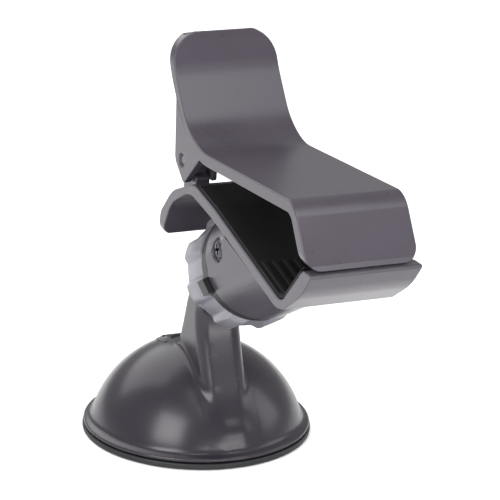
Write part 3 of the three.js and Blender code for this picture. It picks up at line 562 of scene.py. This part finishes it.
open_mesh(dome)
relaxed = pick(dome, "verts", near_joint)
bpy.ops.mesh.vertices_smooth(factor=0.5, repeat=16)
bpy.ops.mesh.select_all(action="SELECT")
bpy.ops.mesh.vertices_smooth(factor=0.5, repeat=2)
pick(dome, "verts", lambda v: v.co.z > 6.4 * MM)
bpy.ops.mesh.vertices_smooth(factor=0.5, repeat=6)
close_mesh()
trued = 0
for v in dome.data.vertices:
    if abs(off_ball(v)) < 0.3 and v.co.z > 5.8 * MM and not beside_arm(v, 9.6, -2, 37):
        v.co = CENTRE + (v.co - CENTRE).normalized() * DOME_RADIUS * MM
        trued += 1
print("relaxed", relaxed, "and trued", trued, "points")

# %% [markdown]
# The lever lies in a slot in the dome's rear, turns in two bearings under the dome, and pulls the rod
# through a guide. The slot is sawn, and the bearings and guide are glued in under it.

# %% The slot, bearings and rod guide
LEVER_AT = (-8.2, DOME_TOP - 6.9)
SLOT_HALF = 7.6


def round_dome(radius, low, high, steps):
    """Points (front, height) on the dome's ball, by angle from the front over the top to the rear."""
    for i in range(steps + 1):
        angle = math.radians(low + (high - low) * i / steps)
        yield radius * math.cos(angle), radius * math.sin(angle) - DROP


slot_side = (list(round_dome(DOME_RADIUS + 6, 98, 160, 6))
             + list(round_dome(DOME_INNER - 1.5, 160, 98, 24)))
hollow_side = [(4, DOME_TOP - 8), (22, DOME_TOP - 17), (20, 27), (15, 41, 3), (9.6, 46, 3), (6.6, 38, 6),
               (4, DOME_TOP - 3)]
hollow = side_plate("hollow", hollow_side, -5.25, 5.25)
lx, ly = LEVER_AT
boss_side = [(lx - 4, ly - 4, 2), (lx + 4, ly - 4, 2), (lx + 4, DOME_TOP - 1.4), (lx - 4, DOME_TOP - 2.9)]
bearings = [side_plate("bearing", boss_side, low, low + 3) for low in (SLOT_HALF, -SLOT_HALF - 3)]
guide_ring = turned("guide", [(2.9, 12), (4.9, 12), (4.9, ly - 6.4), (2.9, ly - 6.4), (2.9, 12)], 48)
ribs = [block((-33, -0.9, 13), (-3.5, 0.9, 17.5)), block((3.5, -0.9, 13), (33, 0.9, 17.5)),
        block((-0.9, 3.5, 13), (0.9, 31.5, 15))]
for rib in ribs:
    limit = turned("rib_limit", list(arc(DOME_INNER + 0.8, 90, -90, 60, DROP)), steps=96)
    combine(rib, limit, "INTERSECT")
saw(dome, hollow, side_plate("slot", slot_side, -SLOT_HALF, SLOT_HALF))
saw(dome, rod("stud_hole", 3.9, BALL + AXIS * -14, BALL + AXIS * -26.3),
    rod("stud_screw_hole", 1.75, BALL + AXIS * -25, BALL + AXIS * -60),
    rod("stud_screw_pocket", 3.45, BALL + AXIS * -30.2, BALL + AXIS * -60))
glue(dome, guide_ring, *ribs, *bearings)
saw(dome, rod("trunnion_hole", 2.2, (-12, -lx, ly), (12, -lx, ly)))
smooth(dome)
hand_over(dome, "base", shell_finish, "base_dome")

# %% [markdown]
# ## The suction pad
# A disc of soft black rubber, flat below. Its boss holds the pull rod's foot under a lip. Nothing of it
# needs an outline in side view, so one half section makes all of it.

# %% The pad
pad = turned("rubber_pad", [
    (0, 0), (38.2, 0), (38.7, 0.15), (38.95, 0.5), (39, 0.9), (38.9, 1.1), (39, 1.3), (38.95, 1.75),
    (38.7, 2), (34, 2), (23.6, 3), (20.8, 6.6), (20.3, 7.1), (15.5, 7.1), (15.1, 6.8), (15.1, 5.9),
    (18.3, 5.9), (18.3, 1.4), (0, 1.4)], 128)
smooth(pad)
hand_over(pad, "base", pad_finish, "suction_pad")

# %% [markdown]
# ## The cam lever
# The lever lies flush in the slot, follows the dome's curve and ends in a lifted tip for a fingertip.
# Its side view has all of that, so it is one plate, with the cam and its trunnions glued on.

# %% The lever
lever_out = DOME_RADIUS - 0.1
lever_side = (list(round_dome(lever_out, 113, 149, 18)) + list(round_dome(lever_out + 1.5, 152, 157, 4))
              + list(round_dome(lever_out - 3.8, 157, 119, 18)))
lever = side_plate("lever", lever_side, -7, 7)
skin_start = next(round_dome(lever_out, 113, 149, 18))
back_end = list(round_dome(lever_out - 3.8, 157, 119, 18))[-1]
neck = side_plate("neck", [(lx - 0.5, ly + 4), (lx - 1.5, ly - 3.8), back_end, skin_start], -6.95, 6.95)
cam = rod("cam", 4.2, (-6.9, -lx, ly), (6.9, -lx, ly))
trunnion = rod("trunnion", 1.9, (-10.3, -lx, ly), (10.3, -lx, ly), 48)
glue(lever, neck, cam, trunnion)
saw(lever, block((-3.1, -10, 0), (3.1, 13.9, 60)), rod("pin_hole", 1.8, (-6.2, 6, ly), (6.2, 6, ly), 48))
soften(lever, 0.45)
hand_over(lever, "lever", shell_finish, "lock_lever")

# %% [markdown]
# ## The ball stud and the socket
# These are turned upright round Z, then laid on the joint's axis with the ball's centre in its place.
# The collar of the socket shows as a black band between the nut and the clip, with an index tab.

# %% Laying a piece on the joint's axis, and the stud
def on_joint(piece):
    return lay(piece, turn=(62, 0, 0), place=BALL)


BALL_RADIUS, NECK_RADIUS = 9, 4.2
neck_low = -math.degrees(math.asin(math.sqrt(BALL_RADIUS ** 2 - NECK_RADIUS ** 2) / BALL_RADIUS))
stud = turned("stud", list(arc(BALL_RADIUS, 90, neck_low, 30)) + [
    (NECK_RADIUS, -15.9), (4.6, -15.75), (6, -15.75), (6, -17.1), (3.6, -17.1), (3.6, -25.6),
    (3.2, -26), (1.75, -26),
    (1.75, -18.4), (0, -18.4)], 64)
smooth(stud)
hand_over(on_joint(stud), "base", black_finish, "ball_stud")

# %% The socket with its collar, tab, slit fingers and plug
SOCKET_INNER = 11.3
finger = math.degrees(math.asin(-6 / SOCKET_INNER))
mouth = SOCKET_INNER * math.cos(math.radians(finger))
collar = turned("collar", list(arc(SOCKET_INNER, 90, finger, 24)) + [
    (mouth + 1.2, -6), (12.2, -6), (13.6, -4.4), (13.6, 4), (17.8, 4), (18.2, 4.4), (18.2, 8.7),
    (17.8, 9.1), (15.9, 9.1), (15.9, 13.9), (14.2, 13.9), (14.2, 5.8), (12, 5.8), (12, 13.9), (0, 13.9)], 96)
saw(collar, block((14.9, -30, 9.12), (30, 30, 60)), block((-30, -30, 9.12), (-14.9, 30, 60)))
tab = block((16.4, -2.6, 4), (20.6, 2.6, 9.1))
lay(tab, turn=(0, 0, 197))
tangs = [block((-14.9, -0.8, 12), (-8, 7.2, 22.5)), block((8, -0.8, 12), (14.9, 7.2, 22.5))]
for tang in tangs:
    combine(tang, rod("plug_round", 15.85, (0, 0, 10), (0, 0, 24), 96), "INTERSECT")
glue(collar, tab, *tangs)
saw(collar, rod("pilot", 1.75, (-24, 3.8, 19), (24, 3.8, 19), 48),
    block((-14.6, -0.8, -7), (14.6, 0.8, 3.4)), block((-0.8, -14.6, -7), (0.8, 14.6, 3.4)))
soften(collar, 0.22, steps=2)
hand_over(on_joint(collar), "clip", black_finish, "socket")

# %% [markdown]
# ## The lock nut
# Eight finger lobes stand round the nut. A drum with fourteen strips to each lobe is swollen ring by
# ring, most at the middle of a lobe, so that its tops are round and its flanks steep.

# %% The lobed drum, its soft ends and its bore
NUT_RADIUS, LOBE_HEIGHT, LOBES, STRIPS = 17.4, 2, 8, 14
only()
bpy.ops.mesh.primitive_cylinder_add(
    vertices=LOBES * STRIPS * 2, radius=NUT_RADIUS * MM, depth=14.3 * MM, location=(0, 0, -3.45 * MM))
nut = bpy.context.object
nut.name = "nut"
bpy.ops.object.transform_apply(location=True, rotation=True, scale=True)
open_mesh(nut)


def steps_from_lobe(v):
    """How many strips a point lies from the middle of its lobe."""
    turn = math.degrees(math.atan2(v.co.y, v.co.x)) / (360 / LOBES)
    return round(abs(turn - round(turn)) * STRIPS * 2)


for step in range(STRIPS + 1):
    pick(nut, "verts", lambda v: steps_from_lobe(v) == step)
    wave = math.cos(math.pi * step / STRIPS)
    grown = 1 + LOBE_HEIGHT * (0.5 + 0.5 * math.tanh(3.2 * (wave - 0.1))) / NUT_RADIUS
    bpy.ops.transform.resize(value=(grown, grown, 1), center_override=(0, 0, 0))
close_mesh()
combine(nut, turned("nut_envelope", [
    (0, -10.6), (16.6, -10.6), (17.4, -10.45), (18.2, -10.1), (18.9, -9.6), (19.4, -8.9), (19.6, -8.2),
    (19.65, -7.4), (19.65, 1.7), (19.5, 2.4), (19.2, 3), (18.8, 3.4), (18.2, 3.65), (17.6, 3.7),
    (0, 3.7)], 128), "INTERSECT")
saw(nut, turned("nut_bore", [
    (0, -11.6), (10.3, -11.6), (9.8, -10.2), (9.8, -8.6), (12, -8.6), (13.9, -5.2), (13.9, 4.7),
    (0, 4.7)], 96))
tidy_mesh(nut)
apply(nut, "BEVEL", width=0.3 * MM, segments=2, limit_method="ANGLE", angle_limit=math.radians(40),
      use_clamp_overlap=True)
smooth(nut, below=40)
lay(nut, turn=(0, 0, 17.5))
hand_over(on_joint(nut), "nut", nut_lit_plastic, "lock_nut")

# %% [markdown]
# ## The lower jaw
# One plate, seen from the side, runs from the tongue behind the ball, over a crest and down into the
# jaw's V. It is drawn a little too wide and then cut with a rounded outline in front view, which
# gives the tongue its round corners.

# %% The plate
CLIP_HALF = 17.9
JAW_MEET = 96.6
lower_side = [
    (6.6, 73, 1), (9.2, 73.4, 1), (17, 86.4, 14), (32, 94.6, 14), (53, 91.2, 40), (104.6, 78.6, 10),
    (119.4, 88.4, 26), (126, JAW_MEET - 0.1, 0.8), (119.7, JAW_MEET - 0.2, 0.8), (105.4, 82, 6),
    (53.5, 95, 50), (35.8, 98.2, 8),
    (17.6, 91, 16), (7.6, 81, 6)]
jaw = side_plate("jaw_lower", lower_side, -19.5, 19.5)
width_view = [(-CLIP_HALF, 73, 4.5), (CLIP_HALF, 73, 4.5), (CLIP_HALF, 140), (-CLIP_HALF, 140)]
combine(jaw, plate("width", width_view, front_view(-5), (0, -145, 0)), "INTERSECT")
print("plate corners:", len(lower_side))

# %% [markdown]
# The hub is a drum on the ball joint's axis. It is round at the collar, its sides draw in to flats
# towards the front, and it ends in the plate above it.

# %% The hub
HUB_FACE, HUB_FRONT = 9.4, 30
HUB_REAR_HALF, HUB_FRONT_HALF = 18.45, 17.5
SLOPE = (78.6 - 91.2) / (104.6 - 53)
plate_up = Vector((0, SLOPE, 1)).normalized()


def under_plate(piece, raise_by, flat_top):
    """Cuts a drum off along the plate's underside, raised by so many millimetres."""
    trim(piece, (0, -53, 91.2 + raise_by), plate_up)
    return trim(piece, (0, 0, flat_top), (0, 0, 1))


hub = rod("hub", 18.7, BALL + AXIS * HUB_FACE, BALL + AXIS * 72, 128)
draw_in = math.atan((HUB_REAR_HALF - HUB_FRONT_HALF) / (HUB_FRONT - HUB_FACE))
for side in (-1, 1):
    out = Vector((side * math.cos(draw_in), 0, 0)) + AXIS * math.sin(draw_in)
    trim(hub, Vector((side * HUB_REAR_HALF, 0, 0)) + BALL + AXIS * HUB_FACE, out)
under_plate(hub, 1.5, 93.8)
room = rod("room", 16.2, BALL + AXIS * (HUB_FACE - 1), BALL + AXIS * 90, 96)
for side in (-1, 1):
    trim(room, (side * 15.2, 0, 0), (side, 0, 0))
under_plate(room, 0, 93.2)
print("hub from", HUB_FACE, "mm along the axis")

# %% [markdown]
# Two lugs stand behind the crest for the hinge pin. The screws sink into round pockets in the hub's
# sides, and a shallow hollow under the plate keeps the moulding even.

# %% Lugs, screw places and the hollow
HINGE = (25.5, 103.2)
hx, hy = HINGE
LUG_IN, LUG_OUT = 10.4, 15.1
EAR_IN, EAR_OUT = 8.3, 10.1
SCREW_AT = on_axis(19, 3.8)
SCREW_HALF = HUB_REAR_HALF + (HUB_FRONT_HALF - HUB_REAR_HALF) * (19 - HUB_FACE) / (HUB_FRONT - HUB_FACE)


def cross_rod(name, radius, place, low_x, high_x, sides=64):
    return rod(name, radius, (low_x, -place[0], place[1]), (high_x, -place[0], place[1]), sides)


step_side = [(hx - 4.8, hy - 11.5), (hx + 5.9, hy - 9), (hx + 5.9, hy - 4.7, 0.8), (hx + 3.5, hy - 3),
             (hx - 3.5, hy - 3), (hx - 4.8, hy - 6, 1)]
lugs = []
for low, high in ((LUG_IN, LUG_OUT), (-LUG_OUT, -LUG_IN)):
    lug = side_plate("lug", step_side, low, high)
    lugs.append(glue(lug, cross_rod("knuckle", 5, HINGE, low, high)))


def under_height(x):
    return 91.2 + SLOPE * (x - 53)


shallow_side = [(78, under_height(78) + 1.2, 1), (78, 60), (100, 60), (100, under_height(100) + 1.2, 1)]
shallow = side_plate("shallow", shallow_side, -15.7, 15.7)
saw(shallow, rod("hub_clear", 18.7, BALL, BALL + AXIS * 90, 128))
glue(jaw, hub, *lugs)
saw(jaw, room, shallow, cross_rod("pin_hole", 1.8, HINGE, -30, 30))
soften(jaw, 0.4)
floor_at = SCREW_HALF - 1.7
for side in (-90, 90):
    pocket = turned("pocket", [
    (0, 14), (1.75, 14), (1.75, floor_at), (3.9, floor_at), (3.9, SCREW_HALF - 0.3),
    (4, SCREW_HALF - 0.12),
        (4.2, SCREW_HALF + 0.02), (5, SCREW_HALF + 0.5), (5, SCREW_HALF + 2), (0, SCREW_HALF + 2)], 64)
    saw(jaw, lay(pocket, turn=(0, side, 0), place=(0, -SCREW_AT[0], SCREW_AT[1])))
even_shading(jaw)
hand_over(jaw, "clip", clip_finish, "lower_jaw")

# %% [markdown]
# ## The upper jaw
# The upper jaw is a sheet of even thickness: handle, bend, flat, and a nose that closes on the lower
# lip. Its rims are deeper than its middle, so a deep strip is drawn first and its middle is sawn thin.

# %% The sheet and its rims
upper_side = [(14.2, 142), (17.8, 131.2, 26), (33.2, 109.8, 22), (111.9, 114.6, 8), (122.4, 98.2, 2),
              (124.6, 96)]
jaw_top = side_plate("jaw_upper", strip(upper_side, 0, 3.9), -19.5, 19.5)
width_view = [(-CLIP_HALF, JAW_MEET + 0.3, 4.5), (CLIP_HALF, JAW_MEET + 0.3, 4.5),
              (CLIP_HALF, 142.02, 10), (-CLIP_HALF, 142.02, 10)]
combine(jaw_top, plate("width", width_view, front_view(-5), (0, -145, 0)), "INTERSECT")
longer = [(13.6, 143.8)] + upper_side[1:5] + [(126.1, 94.5)]
middle = side_plate("middle", strip(longer, 2.6, 7), -15.7, 15.7)
for side in (-1, 1):
    trim(middle, (side * 13.4, 0, 137.5), (side, 0, 1))
trim(middle, (0, 0, 139.8), (0, 0, 1))
saw(jaw_top, middle)
print("rims 3.9 mm deep, middle 2.6 mm thick")

# %% The ears round the hinge pin
under = [(hx + 16, hy + 5.2), (hx + 11.5, hy + 6.6), (hx + 5.5, hy + 9.2), (hx + 1, hy + 13.8),
         (hx - 3, hy + 19.3)]
outer_ear = [(hx - 6, hy + 19), (hx - 6, hy - 1.2, 3.5), (hx + 1.7, hy - 7.4, 1.5)] + under
inner_ear = [(hx - 4.5, hy + 17), (hx - 5.5, hy - 2, 4), (hx - 1, hy - 6, 2), (hx + 6.6, hy - 5.8, 0.8),
             (hx + 8, hy + 6)] + under[2:]
for low, high, side_shape in ((15.4, CLIP_HALF, outer_ear), (-CLIP_HALF, -15.4, outer_ear),
                              (EAR_IN, EAR_OUT, inner_ear), (-EAR_OUT, -EAR_IN, inner_ear)):
    glue(jaw_top, side_plate("ear", side_shape, low, high))
saw(jaw_top, cross_rod("pin_hole", 1.8, HINGE, -30, 30), cross_rod("recess", 2.25, HINGE, 17.15, 30),
    cross_rod("recess", 2.25, HINGE, -30, -17.15))
soften(jaw_top, 0.4)
hand_over(jaw_top, "upper", clip_finish, "upper_jaw")

# %% [markdown]
# ## The rubber on the jaws
# A plain rubber sheet lines both jaws, and the front of the lower one carries ribs that run towards
# the lip. One rib is drawn, and each copy has its own mesh before it is glued down.

# %% Sheets and ribs
lower_line = [(119.7, JAW_MEET - 0.2), (105.4, 82, 6), (53.5, 95, 50), (35.8, 98.2)]
LINER_HALF = 17.3


def sheet_between(name, line, near, far, half, start, finish):
    piece = side_plate(name, strip(line, near, far), -half, half)
    trim(piece, (0, -start, 0), (0, 1, 0))
    return trim(piece, (0, -finish, 0), (0, -1, 0))


liner = sheet_between("liner_lower", lower_line, 0.3, 1.3, LINER_HALF, 40, 86.3)
soften(liner, 0.2, steps=2)
hand_over(liner, "clip", grip_finish, "lower_liner")
grip = sheet_between("grip", lower_line, 0.3, 1.3, LINER_HALF, 86.6, 117.5)
rib = sheet_between("rib", lower_line, 1.1, 2.1, 0.75, 86.9, 117.2)
soften(rib, 0.3, steps=3)
for i in range(10):
    copy = rib.copy()
    copy.data = rib.data.copy()
    bpy.context.collection.objects.link(copy)
    lay(copy, place=(LINER_HALF * ((2 * i + 1) / 10 - 1), 0, 0))
    glue(grip, copy)
bpy.data.objects.remove(rib)
smooth(grip)
hand_over(grip, "clip", grip_finish, "lower_grip")
upper_line = [(33.2, 109.8), (111.9, 114.6, 8), (122.4, 98.2)]
liner_top = sheet_between("liner_upper", upper_line, 2.9, 4.9, 15.4, 66, 116)
soften(liner_top, 0.3, steps=2)
hand_over(liner_top, "upper", grip_finish, "upper_liner")

# %% [markdown]
# ## Screws, hinge pin and spring
# The screw is turned with its head up, a cross is sawn into the head, and one copy is laid in each
# side of the hub. The spring is a wire: a curve of its own path, with a round section.

# %% A cross-head screw, twice
def make_screw(name, side):
    top = SCREW_HALF - 0.05
    seat = top - 1.5
    head = [(0, top), (1.5, top - 0.03), (2.3, top - 0.18), (2.75, top - 0.45), (2.95, top - 0.8),
            (2.95, seat)]
    thread = []
    for i in range(7):
        low = seat - 0.4 - 0.85 * i
        thread += [(1.2, low), (1.45, low - 0.4), (1.2, low - 0.8)]
    piece = turned(name, head + [(1.3, seat)] + thread + [(0, seat - 7.9)], 64)
    cross = block((-1.8, -0.45, top - 0.9), (1.8, 0.45, top + 1))
    glue(cross, block((-0.44, -1.8, top - 0.9), (0.44, 1.8, top + 1.01)))
    saw(piece, cross)
    smooth(piece)
    lay(piece, turn=(0, 0, 20))
    return lay(piece, turn=(0, side, 0), place=(0, -SCREW_AT[0], SCREW_AT[1]))


for name, side in (("screw_left", -90), ("screw_right", 90)):
    hand_over(make_screw(name, side), "clip", screw_finish, "hub_" + name)

# %% The hinge pin
PIN_HALF = 17.35
pin = turned("pin", [
    (0, -PIN_HALF), (1.2, -PIN_HALF), (1.5, -PIN_HALF + 0.3), (1.5, PIN_HALF - 0.3), (1.2, PIN_HALF),
    (0, PIN_HALF)], 48)
smooth(pin)
hand_over(lay(pin, turn=(0, 90, 0), place=(0, -hx, hy)), "upper", pin_finish, "hinge_pin")

# %% The torsion spring
WIRE, COIL, TURNS = 0.8, 4.1, 5
COIL_HALF = EAR_IN - 0.3 - WIRE - 0.4
coil = []
coil_steps = (360 * TURNS - 25) // 10
for i in range(coil_steps + 1):
    angle = math.radians(180 + 10 * i)
    across = -COIL_HALF + 2 * COIL_HALF * i / coil_steps
    coil.append((across, hx + COIL * math.cos(angle), hy + COIL * math.sin(angle)))
leg_up = [(-COIL_HALF, hx - COIL, hy + rise) for rise in (12, 8, 4)]
last_angle = math.radians(180 + 10 * coil_steps)
run = (-math.sin(last_angle), math.cos(last_angle))
leg_down = [(COIL_HALF, coil[-1][1] + run[0] * reach, coil[-1][2] + run[1] * reach)
            for reach in (4, 8, 12, 14.5)]
path = bpy.data.curves.new("spring", "CURVE")
path.dimensions = "3D"
path.bevel_depth = WIRE * MM
path.bevel_resolution = 4
path.use_fill_caps = True
route = path.splines.new("POLY")
points = leg_up + coil + leg_down
route.points.add(len(points) - 1)
for point, (x, front_at, height) in zip(route.points, points):
    point.co = (x * MM, -front_at * MM, height * MM, 1)
spring = bpy.data.objects.new("spring", path)
bpy.context.collection.objects.link(spring)
only(spring)
bpy.ops.object.convert(target="MESH")
open_mesh(spring)
bpy.ops.mesh.select_all(action="SELECT")
bpy.ops.mesh.remove_doubles(threshold=1e-6)
bpy.ops.mesh.normals_make_consistent(inside=False)
close_mesh()
smooth(spring)
spring.data.materials.clear()
spring.data.materials.append(spring_finish)
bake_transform(spring)
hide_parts("torsion_spring")
made.append(spring.name)
print("spring turns:", TURNS)

# %% [markdown]
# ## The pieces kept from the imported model
# Five pieces are right as they are and hardly show: the pull rod, its pin, the ball's nylon seat, the
# stud's screw and the spring's bush. They keep their meshes and get a real finish.

# %% Finishes for the kept pieces
kept = {"pull_rod": rod_finish, "rod_pin": rod_finish, "ball_seat": pale_finish, "stud_screw": screw_finish,
        "spring_bush": black_finish}
for node, finish in kept.items():
    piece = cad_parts[node]
    piece.data.materials.clear()
    piece.data.materials.append(finish)
print("kept pieces:", ", ".join(kept))

# %% [markdown]
# ## Camera
# The mount is seen from its left, somewhat from above, through a long lens, so its lines stay nearly
# parallel. The camera's place is worked out from its two angles and its distance.

# %% The camera
AZIMUTH, ELEVATION, ROLL = math.radians(-23.625), math.radians(18.189), math.radians(1.844)
DISTANCE = 817.66
LENS, SENSOR = 175.83, 36
back = Vector((math.sin(AZIMUTH) * math.cos(ELEVATION), -math.cos(AZIMUTH) * math.cos(ELEVATION),
               math.sin(ELEVATION)))
right = (-back).cross(Vector((0, 0, 1))).normalized()
above = right.cross(-back)
aim = right * 16.494 + Vector((0, 0, 63.845))
lens = bpy.data.cameras.new("view")
lens.lens = LENS
lens.sensor_width = SENSOR
lens.clip_start = 0.01
view = bpy.data.objects.new("view", lens)
bpy.context.collection.objects.link(view)
level = right * math.cos(ROLL) + above * math.sin(ROLL)
upright = -right * math.sin(ROLL) + above * math.cos(ROLL)
eye = (aim + back * DISTANCE) * MM
turn = Matrix((level, upright, back)).transposed().to_4x4()
view.matrix_world = Matrix.Translation(eye) @ turn
bpy.context.scene.camera = view
print("camera stands", round(eye.length, 3), "m from the base")

# %% [markdown]
# ## Floor and light
# The floor is plain and nearly white. A soft key light stands at the left and a weak one fills from the
# right. One hangs overhead, a long low one lights the front, and a large one lights the floor behind. A
# bright room all round gives the satin plastic something to mirror.

# %% The floor
only()
bpy.ops.mesh.primitive_plane_add(size=6, location=(0, 0, -0.0002))
floor = bpy.context.object
floor.name = "floor"
bpy.ops.object.transform_apply(location=True, rotation=True, scale=True)
pale = bpy.data.materials.new("pale_floor")
pale.use_nodes = True
surface = pale.node_tree.nodes["Principled BSDF"].inputs
surface["Base Color"].default_value = (0.92, 0.92, 0.92, 1)
surface["Roughness"].default_value = 0.7
surface["Specular IOR Level"].default_value = 0.2
floor.data.materials.append(pale)
print("floor ready")


# %% The lights and the room
LIT_SPOT = Vector((0, -0.05, 0.07))


def soft_light(name, place, size, power):
    lamp = bpy.data.lights.new(name, "AREA")
    lamp.shape = "RECTANGLE"
    lamp.size, lamp.size_y = size
    lamp.energy = power
    stand = bpy.data.objects.new(name, lamp)
    bpy.context.collection.objects.link(stand)
    stand.location = place
    stand.rotation_euler = (LIT_SPOT - Vector(place)).to_track_quat("-Z", "Y").to_euler()


soft_light("key", (-0.7, -0.5, 0.5), (0.5, 0.5), 9)
soft_light("top", (0.1, -0.5, 1.0), (0.7, 0.7), 8)
soft_light("backdrop", (-0.5, 1.4, 1.6), (2, 2), 40)
soft_light("front", (0.1, -1.0, 0.12), (0.9, 0.3), 7)
soft_light("fill", (0.9, -0.3, 0.5), (0.5, 0.6), 3)
room_light = bpy.data.worlds.new("room")
room_light.use_nodes = True
glow = room_light.node_tree.nodes["Background"].inputs
glow["Color"].default_value = (1, 1, 1, 1)
glow["Strength"].default_value = 0.5
bpy.context.scene.world = room_light
bpy.context.scene.view_settings.view_transform = "Standard"

# %% [markdown]
# ## The last line
# Each finished piece printed its own size as it was handed over; here the number of finished pieces is printed.

# %% Counting the finished pieces
print("finished pieces:", len(made))
